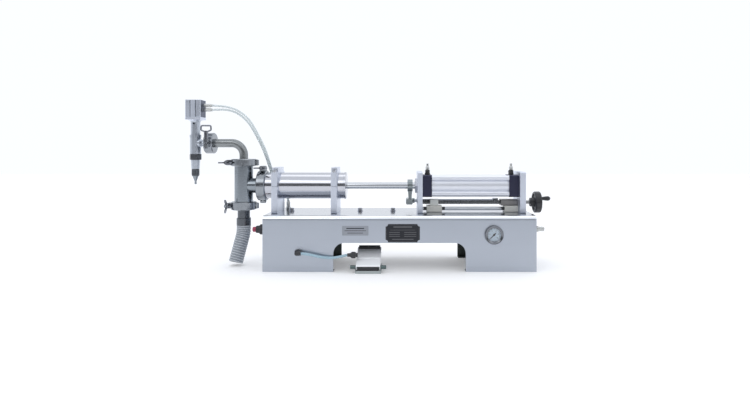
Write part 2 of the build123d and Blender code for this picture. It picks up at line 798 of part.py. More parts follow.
def wing_nut(place, ring, across_x):
    """Wing nut on the clamp's bolt, with its wings along the lug or along the pipe."""
    bolt_x = ring + 8
    hub = rod_y(12.5, 25, 6.5, bolt_x, 0)
    outline = [(3, 14), (10, 21), (19, 30), (20, 35), (17, 38), (12, 36), (3, 24)]
    wings = []
    for side in (-1, 1):
        points = [(side * d, y, 0) for d, y in outline]
        face = make_face(Polyline(*points, close=True))
        wings.append(extrude(face, amount=2, both=True, dir=(0, 0, 1)))
    pair = wings[0] + wings[1]
    if not across_x:
        pair = Rot(0, 90, 0) * pair
    nut = hub + Pos(bolt_x, 0, 0) * pair
    return place * (nut - rod_y(0, 60, CLAMP_BOLT_RADIUS + RUNNING, bolt_x, 0))


def loop_nut(place, ring):
    """Tall nut with a closed loop handle, on the nozzle clamp's bolt."""
    bolt_x = ring + 8
    hub = rod_y(12.5, 36, 6.0, bolt_x, 0)
    bends = [(33, -3), (38, -15), (51, -14), (51, 14), (38, 15), (33, 3)]
    path = FilletPolyline(*[(bolt_x, y, z) for y, z in bends], radius=3.5)
    loop = sweep(Plane(path @ 0, z_dir=path % 0) * Circle(2.3), path=path)
    nut = hub + loop
    return place * (nut - rod_y(0, 32, CLAMP_BOLT_RADIUS + RUNNING, bolt_x, 0))


def gaskets():
    """Sealing rings between the four pairs of ferrules."""
    rings = []
    places = [
        ((PUMP_JOINT_X, 0, AXIS_Z), (1, 0, 0), PUMP_FERRULE - 1, PUMP_BORE),
        ((VALVE_X, 0, VALVE_BOTTOM_JOINT_Z), (0, 0, 1), VALVE_FERRULE - 1, VALVE_BORE),
        ((VALVE_X, 0, VALVE_TOP_JOINT_Z), (0, 0, 1), VALVE_FERRULE - 1, VALVE_BORE),
        ((NOZZLE_JOINT_X, 0, PIPE_Z), (1, 0, 0), PIPE_FERRULE - 1, PIPE_BORE),
    ]
    for point, direction, outer, inner in places:
        half = GASKET / 2
        profile = [(inner, -half), (outer, -half), (outer, half), (inner, half)]
        rings.append(turned(profile, point, direction))
    return rings


# ---- air cylinder and volume setting ---------------------------------------------------------


def air_plates():
    """Front and rear plates that stand on the base and hold the air cylinder."""
    pieces = []
    for x0, x1 in (AIR_FRONT_PLATE, AIR_REAR_PLATE):
        plate = rounded_box(
            x0, x1, -AIR_PLATE_HALF_DEPTH, AIR_PLATE_HALF_DEPTH, BASE_HEIGHT, AIR_PLATE_TOP, 4, Axis.X
        )
        pieces.append(plate)
    front, rear = pieces
    x0, x1 = AIR_FRONT_PLATE
    front -= rod_x(x0 - 1, x1 + 1, GLAND_RADIUS, 0, AXIS_Z)
    front -= rod_x(x0 - 1, x1 + 1, TRIP_RADIUS + RUNNING, TRIP_Y, TRIP_Z)
    front -= rod_x(x1 - 9, x1 + 1, JOURNAL_RADIUS + RUNNING, 0, SCREW_Z)
    front -= rod_x(x1 - 9, x1 + 1, GUIDE_RADIUS, 0, GUIDE_Z)
    x0, x1 = AIR_REAR_PLATE
    rear -= rod_x(x0 - 1, x1 + 1, JOURNAL_RADIUS + RUNNING, 0, SCREW_Z)
    rear -= rod_x(x0 - 1, x0 + 9, GUIDE_RADIUS, 0, GUIDE_Z)
    return [front, rear]


def air_caps():
    """Front and rear caps; the front one carries the rod gland through its plate."""
    pieces = []
    for x0 in (AIR_FRONT_PLATE[1], BARREL_RIGHT):
        cap = rounded_box(
            x0, x0 + CAP_LENGTH, -CAP_HALF, CAP_HALF, AXIS_Z - CAP_HALF, CAP_TOP, 5, Axis.X
        )
        for y in (-TIE_OFFSET, TIE_OFFSET):
            for z in (AXIS_Z - TIE_OFFSET, AXIS_Z + TIE_OFFSET):
                cap -= rod_x(x0 - 1, x0 + CAP_LENGTH + 1, TIE_RADIUS, y, z)
        pieces.append(cap)
    front = pieces[0] + rod_x(GLAND_LEFT, AIR_FRONT_PLATE[1], GLAND_RADIUS, 0, AXIS_Z)
    front -= rod_x(GLAND_LEFT - 1, BARREL_LEFT + 1, ROD_RADIUS + RUNNING, 0, AXIS_Z)
    return [front, pieces[1]]


def air_barrel():
    """Drawn barrel: a tube with four lobes that cover the tie rods."""
    outer = rod_x(BARREL_LEFT, BARREL_RIGHT, BARREL_RADIUS, 0, AXIS_Z)
    for y in (-TIE_OFFSET, TIE_OFFSET):
        for z in (AXIS_Z - TIE_OFFSET, AXIS_Z + TIE_OFFSET):
            outer += rod_x(BARREL_LEFT, BARREL_RIGHT, BARREL_LOBE, y, z)
    outer -= rod_x(BARREL_LEFT - 1, BARREL_RIGHT + 1, AIR_BORE, 0, AXIS_Z)
    for y in (-TIE_OFFSET, TIE_OFFSET):
        for z in (AXIS_Z - TIE_OFFSET, AXIS_Z + TIE_OFFSET):
            outer -= rod_x(BARREL_LEFT - 1, BARREL_RIGHT + 1, TIE_RADIUS, y, z)
    return outer


def tie_rods():
    """Four tie rods through both caps."""
    rods = []
    for y in (-TIE_OFFSET, TIE_OFFSET):
        for z in (AXIS_Z - TIE_OFFSET, AXIS_Z + TIE_OFFSET):
            rods.append(rod_x(AIR_FRONT_PLATE[1], AIR_REAR_PLATE[0], TIE_RADIUS, y, z))
    return rods


def flow_valves():
    """Speed control valve on each cap, with its tube port to the back."""
    pieces = []
    for x in FLOW_VALVE_XS:
        body = hexagon_z(CAP_TOP, CAP_TOP + 5, 14, x, 0)
        body += rod_z(CAP_TOP + 5, FLOW_BODY_TOP, 7, x, 0)
        body += rod_y(0, 20, 5, x, FLOW_PORT_Z)
        body -= rod_y(12, 21, 3, x, FLOW_PORT_Z)
        body -= rod_z(CAP_TOP + 3, FLOW_BODY_TOP + 1, 3.0 + RUNNING, x, 0)
        pieces.append(body)
    return pieces


def flow_screw(x):
    """Adjusting screw of a speed control valve: knurled head on a needle stem."""
    low = CAP_TOP + 5
    head = FLOW_BODY_TOP + GAP - low
    top = FLOW_SCREW_TOP - low
    screw = turned(
        [(0, 0), (3, 1), (3, head), (5.6, head), (5.6, head + 8), (4, head + 11), (3.6, top), (0, top)],
        (x, 0, low),
    )
    return screw - block(x - 4, x + 4, -0.6, 0.6, FLOW_SCREW_TOP - 1.6, FLOW_SCREW_TOP + 1)


def guide_rod():
    """Rod that keeps the travelling sensor upright."""
    return rod_x(AIR_FRONT_PLATE[1] - 9, AIR_REAR_PLATE[0] + 9, GUIDE_RADIUS, 0, GUIDE_Z)


def bearing_block():
    """Dark block against the rear plate that carries the lead screw."""
    solid = rounded_box(302, 352, -16, 16, 176, 194, 3, Axis.X)
    return solid - rod_x(301, 353, JOURNAL_RADIUS + RUNNING, 0, SCREW_Z)


def end_sensor():
    """Fixed sensor under the bearing block, clamped on the guide rod."""
    solid = rounded_box(312.5, 351.6, -20, 14, BASE_HEIGHT + 0.3, 176, 2, Axis.X)
    solid += rod_x(304, 313, 4.5, -13, 168)
    return solid - rod_x(300, 353, GUIDE_RADIUS, 0, GUIDE_Z)


def lead_screw():
    """Threaded between its journals, with a reduced shaft out to the handwheel."""
    thread = rod_x(AIR_FRONT_PLATE[1] + 2, 300, SCREW_RADIUS, 0, SCREW_Z)
    return thread + rod_x(AIR_FRONT_PLATE[1] - 8, WHEEL_X[1] - 6, JOURNAL_RADIUS, 0, SCREW_Z)


def handwheel():
    """Dished handwheel: hub, web with a rim, and the post of the revolving grip."""
    x0, x1 = WHEEL_X
    wheel = turned(
        [
            (JOURNAL_RADIUS, 0),
            (13, 0),
            (14, 14),
            (24, 16),
            (25, 12),
            (WHEEL_RADIUS - 3, 12),
            (WHEEL_RADIUS, 15),
            (WHEEL_RADIUS, 28),
            (WHEEL_RADIUS - 3, 31),
            (25, 31),
            (24, 24),
            (12, 24),
            (10, x1 - x0),
            (JOURNAL_RADIUS, x1 - x0),
        ],
        (x0, 0, SCREW_Z),
        (1, 0, 0),
    )
    post = rod_x(x0 + 18, GRIP_END - 3, 2.5, GRIP_Y, GRIP_Z)
    cap = rod_x(GRIP_END - 3, GRIP_END - 1.5, 4.0, GRIP_Y, GRIP_Z)
    return wheel + post + cap


def handwheel_grip():
    """Revolving grip on the handwheel's post."""
    x0 = WHEEL_X[0] + 31 + 2 * GAP
    length = GRIP_END - 3 - GAP - x0
    grip = turned(
        [
            (2.5 + RUNNING, 0),
            (5, 0),
            (6, length * 0.35),
            (7, length * 0.75),
            (5.5, length),
            (2.5 + RUNNING, length),
        ],
        (x0, GRIP_Y, GRIP_Z),
        (1, 0, 0),
    )
    return grip


def sensor_carriage():
    """Travelling sensor on the guide rod, and the pale nut block that the screw drives."""
    x0, x1 = CARRIAGE_X
    sensor = rounded_box(x0, x1, -20, 14, BASE_HEIGHT + GAP, 176, 2, Axis.X)
    sensor += rod_x(x0 - 9, x0 + 1, 4.5, -13, 168) + rod_x(x1 - 1, x1 + 9, 4.5, -13, 168)
    sensor -= rod_x(x0 - 10, x1 + 10, GUIDE_RADIUS + RUNNING, 0, GUIDE_Z)
    nut = rounded_box(NUT_X[0], NUT_X[1], -13, 13, 176, 194, 1.5, Axis.X)
    nut -= rod_x(x0, x1, SCREW_RADIUS + RUNNING, 0, SCREW_Z)
    return [sensor, nut]


# ---- panel parts -----------------------------------------------------------------------------


def name_plates():
    """Two thin plates on the front panel, the larger one with notched corners."""
    x0, x1, z0, z1 = NAME_PLATE
    name = block(x0, x1, BASE_FRONT - 1.2, BASE_FRONT, z0, z1)
    for x in (x0, x1):
        for z in (z0, z1):
            name -= rod_y(BASE_FRONT - 5, BASE_FRONT + 5, NOTCH, x, z)
    x0, x1, z0, z1 = LABEL_PLATE
    label = rounded_box(x0, x1, BASE_FRONT - 0.8, BASE_FRONT, z0, z1, 2, Axis.Y)
    return [name, label]


def gauge_case():
    """Panel gauge: case with its bezel, and the dial."""
    x, z = GAUGE
    case = turned(
        [
            (0, 0),
            (GAUGE_RADIUS - 3, 0),
            (GAUGE_RADIUS - 3, -4),
            (GAUGE_RADIUS - 1.5, -9),
            (GAUGE_RADIUS, -7),
            (GAUGE_RADIUS, 0.1),
            (GAUGE_CASE_RADIUS, 0.1),
            (GAUGE_CASE_RADIUS, 28),
            (6, 28),
            (6, 38),
            (0, 38),
        ],
        (x, BASE_FRONT - 0.1, z),
        (0, 1, 0),
    )
    dial = rod_y(BASE_FRONT - 1.0, BASE_FRONT - 0.1, GAUGE_RADIUS - 3, x, z)
    return [case, dial]


def gauge_glass():
    """Clear lens in the bezel."""
    return rod_y(BASE_FRONT - 5.6, BASE_FRONT - 4.1, GAUGE_RADIUS - 3, *GAUGE)


def gauge_needle():
    """Needle at its zero stop, pointing down to the left, with a short tail."""
    x, z = GAUGE
    outline = [(-7, -1.3), (4, -1.3), (18, -0.3), (18, 0.3), (4, 1.3), (-7, 1.3)]
    flat = make_face(Polyline(*[(a, 0, b) for a, b in outline], close=True))
    needle = extrude(flat, amount=0.35, both=True, dir=(0, 1, 0))
    needle += Rot(90, 0, 0) * Cylinder(2.6, 1.0)
    return Pos(x, BASE_FRONT - 2.4, z) * Rot(0, 135, 0) * needle


def button_housing():
    """Stepped guard of the stop button on the left end plate."""
    return turned(
        [
            (8, -10),
            (8, 0.0),
            (15, 0),
            (15, 18),
            (13, 20),
            (11, 20),
            (10.5, 30),
            (7.5 + GAP, 30),
            (7.5 + GAP, 18),
            (3.5, 18),
            (3.5, -10),
        ],
        (-BASE_END, BUTTON_Y, BUTTON_Z),
        (-1, 0, 0),
    )


def stop_button():
    """Red push button on its stem."""
    cap = 18 + BUTTON_TRAVEL + 1
    return turned(
        [(0, 0), (3, 0), (3, cap), (7.5, cap), (7.5, 38), (5.5, 41), (0, 41)],
        (-BASE_END, BUTTON_Y, BUTTON_Z),
        (-1, 0, 0),
    )


def air_inlet():
    """Compressed air inlet on the right end plate: hexagon, collar and plug nipple."""
    start = BASE_END
    fitting = hexagon_x(start, start + 10, 19, INLET_Y, INLET_Z)
    fitting += turned(
        [(0, -12), (7, -12), (7, 12), (8.2, 13), (8.2, 17), (6.5, 18), (6.5, 33), (5.5, 34), (0, 34)],
        (start, INLET_Y, INLET_Z),
        (1, 0, 0),
    )
    fitting += rod_z(INLET_Z + 6, INLET_Z + 22, 3, start + 5, INLET_Y)
    return fitting - rod_x(start - 13, start + 35, 3.5, INLET_Y, INLET_Z)


# ---- foot pedal ------------------------------------------------------------------------------


def pedal_base():
    """Floor tray with side ears, and the hinge pin with its end knobs."""
    x0, x1 = PEDAL_X
    y0, y1 = PEDAL_Y
    tray = rounded_box(x0, x1, y0, y1, 0, TRAY_HEIGHT, 4, Axis.Z)
    tray -= block(x0 + 2, x1 - 2, y0 + 2, y1 - 2, 3, TRAY_HEIGHT + 1)
    hinge_y, hinge_z = PEDAL_AXIS
    for a, b in ((x0, x0 + 2), (x1 - 2, x1)):
        tray += side_outline(
            [(hinge_y - 8, 3), (hinge_y + 12, 3), (hinge_y + 6, 22), (hinge_y - 6, 22)], a, b
        )
    tray -= rod_x(x0 - 1, x1 + 1, PEDAL_PIN, hinge_y, hinge_z)
    pin = rod_x(x0, x1, PEDAL_PIN, hinge_y, hinge_z)
    for a, b in ((x0 - 14, x0), (x1, x1 + 14)):
        pin += rod_x(a, b, 5.5, hinge_y, hinge_z)
    return [tray, pin]


def pedal_box():
    """Dark valve box under the treadle, with the pin passing through its front."""
    x0, x1 = PEDAL_X
    outline = [(-131, 3), (-38, 3), (-38, 33), (-62, 31), (-106, 22), (-131, 18.5)]
    box = side_outline(outline, x0 + 8, x1 - 8)
    box -= rod_x(x0, x1, PEDAL_PIN, *PEDAL_AXIS)
    cheek = block(x0 + 2, x0 + 8, -119, -107, 3, 7)
    return box + cheek


def treadle():
    """Sloping pressed cover that turns on the pin, with a rubber lip at its high end."""
    x0, x1 = PEDAL_X[0] + 2 + GAP, PEDAL_X[1] - 2 - GAP
    profile = [
        (-134, 20.5), (-132, 23.5), (-52, 57), (-44, 58), (-44, 40), (-100, 18), (-114, 9), (-128, 9),
    ]
    inner = [(-140, 5), (-140, 16.6), (-51, 53.6), (-40, 54.6), (-40, 0), (-130, 0)]
    cover = side_outline(profile, x0, x1) - side_outline(inner, x0 + 2, x1 - 2)
    hinge_y, hinge_z = PEDAL_AXIS
    cover -= rod_x(x0 - 1, x1 + 1, PEDAL_PIN + RUNNING, hinge_y, hinge_z)
    lip = side_outline([(-58, 54.2), (-44, 57.5), (-44, 62), (-48, 64), (-58, 61)], x0 + 3, x1 - 3)
    rib = side_outline([(-101, 35.8), (-97, 37.5), (-97.8, 40), (-101.8, 38.3)], x0 + 1, x1 - 1)
    return [cover + rib, lip - cover]


# ---- fittings and tubes ----------------------------------------------------------------------


def tube_fittings():
    """Push-in fittings: two on the nozzle cylinder, two bulkheads, panel elbow, pedal gland."""
    pieces = []
    wall = NOZZLE_X + SQUARE_HALF
    for z in NOZZLE_PORT_ZS:
        body = hexagon_x(wall, wall + 9, 11, 0, z)
        body += rod_x(wall + 9, NOZZLE_PORT_END_X - 5, 5.2, 0, z)
        pieces.append(body + rod_x(NOZZLE_PORT_END_X - 5, NOZZLE_PORT_END_X, 4.4, 0, z))
    for x, y in BULKHEADS:
        body = rod_z(BASE_HEIGHT - 14, BASE_HEIGHT, 5, x, y)
        body += hexagon_z(BASE_HEIGHT, BASE_HEIGHT + 6, 14, x, y)
        body += rod_z(BASE_HEIGHT + 6, BULKHEAD_TOP - 4, 6, x, y)
        body += rod_z(BULKHEAD_TOP - 4, BULKHEAD_TOP, 4.8, x, y)
        pieces.append(body)
    x, z = PANEL_PORT
    tube_y = PEDAL_TUBE_ROUTE[0][1]
    elbow = rod_y(BASE_FRONT - 18, BASE_FRONT + 12, 6, x, z)
    elbow += rod_y(BASE_FRONT - 6, BASE_FRONT, 9.5, x, z)
    elbow += rod_x(x, PEDAL_TUBE_ROUTE[0][0], 6.2, tube_y, z)
    pieces.append(fillet(elbow.edges().filter_by(GeomType.CIRCLE).sort_by(Axis.Y)[0], 1.5))
    gx, gy, gz = PEDAL_TUBE_ROUTE[-1]
    gland = turned(
        [(0, 0), (4.6, 0), (5.2, 8), (8, 12), (8, 16), (6, 16), (6, 29.4), (0, 29.4)],
        (gx, gy, gz),
        (1, 0, 0),
    )
    gland += rod_x(gx + 12, gx + 23, 9, gy, gz)
    pieces.append(gland)
    return pieces


def corner_radii(points):
    """Bend radius at each corner of a route, as large as its two runs allow."""
    corners = [Vector(*p) for p in points]
    radii = []
    for before, here, after in zip(corners, corners[1:], corners[2:]):
        run_in, run_out = here - before, after - here
        turn = radians(run_in.get_angle(run_out))
        radii.append(0.45 * min(run_in.length, run_out.length) / tan(turn / 2))
    return radii


def air_tube(name, points, diameter):
    """Soft tube along its route: straight runs joined by tangent arcs."""
    radii = corner_radii(points)
    path = FilletPolyline(*points, radius=radii)
    solid = sweep(Plane(path @ 0, z_dir=path % 0) * Circle(diameter / 2), path=path)
    ideal = pi * (diameter / 2) ** 2 * path.length
    ratio = round(solid.volume / ideal, 4)
    print(name, "length", round(path.length, 1), "least radius", round(min(radii), 1), "ratio", ratio)
    return solid


# ---- writing ---------------------------------------------------------------------------------

TOP_CLAMP = clamp_place((VALVE_X, 0, VALVE_TOP_JOINT_Z), (0, 0, 1), (-1, 0, 0))
BOTTOM_CLAMP = clamp_place((VALVE_X, 0, VALVE_BOTTOM_JOINT_Z), (0, 0, 1), (-1, 0, 0))
PUMP_CLAMP = clamp_place((PUMP_JOINT_X, 0, AXIS_Z), (1, 0, 0), (0, 0, 1))
NOZZLE_CLAMP = clamp_place((NOZZLE_JOINT_X, 0, PIPE_Z), (-1, 0, 0), (0, -1, 0))

NODES = {
    "base_housing": base_housing(),
    "control_valve": control_valve(),
    "screws": screws(),
    "cylinder_supports": cylinder_supports(),
    "material_cylinder": material_cylinder(),
    "pistons": pistons(),
    "piston_rod": piston_rod(),
    "striker_arm": striker_arm(),
    "trip_rod": trip_rod(),
    "valve_body": valve_body(),
    "valve_seats": valve_seats(),
    "inlet_poppet": poppet(INLET_SEAT_Z),
    "outlet_poppet": poppet(OUTLET_SEAT_Z),
    "delivery_pipe": delivery_pipe(),
    "nozzle_tee": nozzle_tee(),
    "nozzle_bonnet": nozzle_bonnet(),
    "nozzle_nuts": nozzle_nuts(),
    "nozzle_sleeve": nozzle_sleeve(),
    "nozzle_tip": nozzle_tip(),
    "nozzle_plunger": nozzle_plunger(),
    "nozzle_air_cylinder": nozzle_air_cylinder(),
    "suction_adapter": suction_adapter(),
    "suction_hose": suction_hose(),
    "valve_top_clamp": clamp(TOP_CLAMP, VALVE_FERRULE, SMALL_RING, 10.5, (27.5, 22)),
    "valve_bottom_clamp": clamp(BOTTOM_CLAMP, VALVE_FERRULE, SMALL_RING, 12, (19, 27.5)),
    "pump_clamp": clamp(PUMP_CLAMP, PUMP_FERRULE, PUMP_RING, 13, (29, 39.5)),
    "nozzle_clamp": clamp(NOZZLE_CLAMP, PIPE_FERRULE, NOZZLE_RING, 13, (13, 14)),
    "top_wing_nut": wing_nut(TOP_CLAMP, SMALL_RING, True),
    "bottom_wing_nut": wing_nut(BOTTOM_CLAMP, SMALL_RING, False),
    "pump_wing_nut": wing_nut(PUMP_CLAMP, PUMP_RING, False),
    "nozzle_loop_nut": loop_nut(NOZZLE_CLAMP, NOZZLE_RING),
    "gaskets": gaskets(),
    "air_plates": air_plates(),
    "air_caps": air_caps(),
    "air_barrel": air_barrel(),
    "tie_rods": tie_rods(),
    "flow_valves": flow_valves(),
    "front_flow_screw": flow_screw(FLOW_VALVE_XS[0]),
    "rear_flow_screw": flow_screw(FLOW_VALVE_XS[1]),
    "guide_rod": guide_rod(),
    "bearing_block": bearing_block(),
    "end_sensor": end_sensor(),
    "lead_screw": lead_screw(),
    "handwheel": handwheel(),
    "handwheel_grip": handwheel_grip(),
    "sensor_carriage": sensor_carriage(),
    "name_plates": name_plates(),
    "gauge_case": gauge_case(),
    "gauge_glass": gauge_glass(),
    "gauge_needle": gauge_needle(),
    "button_housing": button_housing(),
    "stop_button": stop_button(),
    "air_inlet": air_inlet(),
    "pedal_base": pedal_base(),
    "pedal_box": pedal_box(),
    "treadle": treadle(),
    "tube_fittings": tube_fittings(),
    "front_nozzle_tube": air_tube("front nozzle tube", FRONT_TUBE_ROUTE, NOZZLE_TUBE),
    "rear_nozzle_tube": air_tube("rear nozzle tube", REAR_TUBE_ROUTE, NOZZLE_TUBE),
    "pedal_tube": air_tube("pedal tube", PEDAL_TUBE_ROUTE, PEDAL_TUBE),
}

os.makedirs("parts", exist_ok=True)
for node, shape in NODES.items():
    solids = []
    for piece in shape if isinstance(shape, list) else [shape]:
        solids += [Location(BASE_FROM_MIDDLE) * solid for solid in piece.solids()]
    whole = solids[0] if len(solids) == 1 else Compound(children=solids)
    export_step(whole, f"parts/{node}.step")
print(len(NODES), "nodes")
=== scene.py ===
import math

import bmesh
import bpy
from mathutils import Matrix, Vector


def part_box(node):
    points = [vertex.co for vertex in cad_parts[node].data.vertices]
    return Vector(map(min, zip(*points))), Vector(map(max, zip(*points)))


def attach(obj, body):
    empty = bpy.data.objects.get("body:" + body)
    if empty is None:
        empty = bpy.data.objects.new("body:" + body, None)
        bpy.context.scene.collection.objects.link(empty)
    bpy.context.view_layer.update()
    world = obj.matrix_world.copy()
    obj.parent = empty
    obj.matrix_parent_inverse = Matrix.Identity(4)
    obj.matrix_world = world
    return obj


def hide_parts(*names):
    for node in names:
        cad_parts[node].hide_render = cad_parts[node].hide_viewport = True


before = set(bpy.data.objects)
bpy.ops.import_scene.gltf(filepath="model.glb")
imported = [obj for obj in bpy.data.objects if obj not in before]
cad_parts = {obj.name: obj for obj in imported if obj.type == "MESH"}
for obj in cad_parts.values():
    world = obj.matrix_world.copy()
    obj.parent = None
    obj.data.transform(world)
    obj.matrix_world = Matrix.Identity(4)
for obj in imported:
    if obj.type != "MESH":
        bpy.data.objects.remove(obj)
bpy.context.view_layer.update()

# Camera. The machine is seen square from the front, level, a little above its pump line.
# BASE is the middle of the base's footprint on the bench, to a tenth of a millimetre.
base_low, base_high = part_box("base_housing")
base_middle = (base_low + base_high) / 2
BASE = Vector((round(base_middle.x, 4), round(base_middle.y, 4), round(base_low.z, 4)))
EYE_DISTANCE = 1.610
EYE_HEIGHT = 0.3416
eye = bpy.data.cameras.new("eye")
eye.lens = 25.71
eye.sensor_width = 36.0
eye.shift_x = -0.0327
eye.shift_y = -0.0667
camera = bpy.data.objects.new("camera", eye)
camera.location = BASE + Vector((0.0, -EYE_DISTANCE, EYE_HEIGHT))
camera.rotation_euler = (math.radians(90), 0.0, 0.0)
bpy.context.scene.collection.objects.link(camera)
bpy.context.scene.camera = camera
bpy.context.scene.view_settings.view_transform = "Standard"


def at(x, y, z):
    """A point given in millimetres from the middle of the base's footprint."""
    return BASE + Vector((x, y, z)) / 1000


# Bench and light. A pale matt bench top, a room that is bright above and behind the machine and
# greyer behind the viewer, so that polished steel shows both, and three soft lamps.
def shader_of(material):
    """The surface shader of a material, whose nodes are switched on first."""
    material.use_nodes = True
    return material.node_tree.nodes["Principled BSDF"]


BENCH_HALF = 6.0
bench = bmesh.new()
bmesh.ops.create_grid(bench, x_segments=4, y_segments=4, size=BENCH_HALF)
bench_mesh = bpy.data.meshes.new("bench_top")
bench.to_mesh(bench_mesh)
bench.free()
bench_top = bpy.data.objects.new("bench_top", bench_mesh)
bpy.context.scene.collection.objects.link(bench_top)
bench_paint = bpy.data.materials.new("bench_paint")
bench_shader = shader_of(bench_paint)
bench_shader.inputs["Base Color"].default_value = (0.84, 0.84, 0.85, 1)
bench_shader.inputs["Emission Color"].default_value = (1, 1, 1, 1)
bench_shader.inputs["Emission Strength"].default_value = 0.22
bench_shader.inputs["Roughness"].default_value = 0.7
bench_mesh.materials.append(bench_paint)

room = bpy.data.worlds.new("room")
bpy.context.scene.world = room
room.use_nodes = True
room_nodes, room_links = room.node_tree.nodes, room.node_tree.links
direction = room_nodes.new("ShaderNodeTexCoord")
split = room_nodes.new("ShaderNodeSeparateXYZ")
room_links.new(direction.outputs["Generated"], split.inputs["Vector"])
wall = room_nodes.new("ShaderNodeMapRange")
wall.interpolation_type = "SMOOTHSTEP"
wall.inputs["From Min"].default_value = -0.75
wall.inputs["From Max"].default_value = -0.05
wall.inputs["To Min"].default_value = 0.14
wall.inputs["To Max"].default_value = 1.0
room_links.new(split.outputs["Y"], wall.inputs["Value"])
ceiling = room_nodes.new("ShaderNodeMapRange")
ceiling.interpolation_type = "SMOOTHSTEP"
ceiling.inputs["From Min"].default_value = 0.22
ceiling.inputs["From Max"].default_value = 0.50
room_links.new(split.outputs["Z"], ceiling.inputs["Value"])
brighter = room_nodes.new("ShaderNodeMath")
brighter.operation = "MAXIMUM"
room_links.new(wall.outputs["Result"], brighter.inputs[0])
room_links.new(ceiling.outputs["Result"], brighter.inputs[1])
sky = room_nodes["Background"]
sky.inputs["Color"].default_value = (0.98, 1.01, 1.06, 1)
room_links.new(brighter.outputs["Value"], sky.inputs["Strength"])

LAMP_AIM = Vector((0.05, 0.0, 0.2))
for lamp, size, power, spot in (
    ("key_lamp", (1.6, 0.9), 5.0, (-0.9, -1.7, 1.7)),
    ("fill_lamp", (1.2, 1.2), 2.0, (1.6, -1.5, 1.1)),
    ("top_lamp", (1.8, 0.7), 3.0, (0.1, 0.2, 2.0)),
):
    glow = bpy.data.lights.new(lamp, "AREA")
    glow.shape = "RECTANGLE"
    glow.size, glow.size_y = size
    glow.energy = power
    stand = bpy.data.objects.new(lamp, glow)
    stand.location = spot
    stand.rotation_euler = (LAMP_AIM - Vector(spot)).to_track_quat("-Z", "Y").to_euler()
    bpy.context.scene.collection.objects.link(stand)


# Air tubes. Soft polyurethane tube, cut to length and pushed into collet fittings: two clear
# ones from the nozzle's cylinder down to the base, and a pale blue one to the foot pedal.
def noise(material, source, scale, detail):
    """A soft random pattern over the given coordinates."""
    pattern = material.node_tree.nodes.new("ShaderNodeTexNoise")
    pattern.inputs["Scale"].default_value = scale
    pattern.inputs["Detail"].default_value = detail
    material.node_tree.links.new(source, pattern.inputs["Vector"])
    return pattern.outputs["Fac"]


def patchy_colour(material, pattern, colour, variation):
    """Colours a surface with a deeper and a paler tone of one colour, where the pattern says."""
    tint = material.node_tree.nodes.new("ShaderNodeMix")
    tint.data_type = "RGBA"
    tint.inputs["A"].default_value = (*[c * (1 - variation) for c in colour], 1)
    tint.inputs["B"].default_value = (*[min(1, c * (1 + variation)) for c in colour], 1)
    material.node_tree.links.new(pattern, tint.inputs["Factor"])
    material.node_tree.links.new(tint.outputs["Result"], shader_of(material).inputs["Base Color"])


def uneven_gloss(material, pattern, low, high, roughness, spread):
    """Spreads the roughness about its middle value as the pattern goes from low to high."""
    gloss = material.node_tree.nodes.new("ShaderNodeMapRange")
    gloss.inputs["From Min"].default_value = low
    gloss.inputs["From Max"].default_value = high
    gloss.inputs["To Min"].default_value = max(0.02, roughness - spread)
    gloss.inputs["To Max"].default_value = roughness + spread
    material.node_tree.links.new(pattern, gloss.inputs["Value"])
    material.node_tree.links.new(gloss.outputs["Result"], shader_of(material).inputs["Roughness"])


def fine_relief(material, pattern, strength, depth):
    """Raises a pattern from the surface by a depth in metres."""
    bump = material.node_tree.nodes.new("ShaderNodeBump")
    bump.inputs["Strength"].default_value = strength
    bump.inputs["Distance"].default_value = depth
    material.node_tree.links.new(pattern, bump.inputs["Height"])
    material.node_tree.links.new(bump.outputs["Normal"], shader_of(material).inputs["Normal"])


def moulded(name, colour, roughness, grain=900.0, relief=0.12, variation=0.10, coat=0.0):
    """Plastic or rubber: soft patches of colour and gloss over the fine grain of the mould."""
    material = bpy.data.materials.new(name)
    shader = shader_of(material)
    shader.inputs["Coat Weight"].default_value = coat
    shader.inputs["Coat Roughness"].default_value = 0.15
    place = material.node_tree.nodes.new("ShaderNodeTexCoord").outputs["Object"]
    patches = noise(material, place, 35.0, 5.0)
    patchy_colour(material, patches, colour, variation)
    uneven_gloss(material, patches, 0.0, 1.0, roughness, 0.08)
    fine_relief(material, noise(material, place, grain, 2.0), relief, 0.0003)
    return material


clear_tube = moulded("clear_tube", (0.74, 0.81, 0.82), 0.22, 300.0, 0.02, 0.05, 0.4)
shader_of(clear_tube).inputs["Transmission Weight"].default_value = 0.15
shader_of(clear_tube).inputs["IOR"].default_value = 1.45
blue_tube = moulded("blue_tube", (0.42, 0.60, 0.70), 0.25, 300.0, 0.05, 0.05, 0.4)
shader_of(blue_tube).inputs["Transmission Weight"].default_value = 0.2

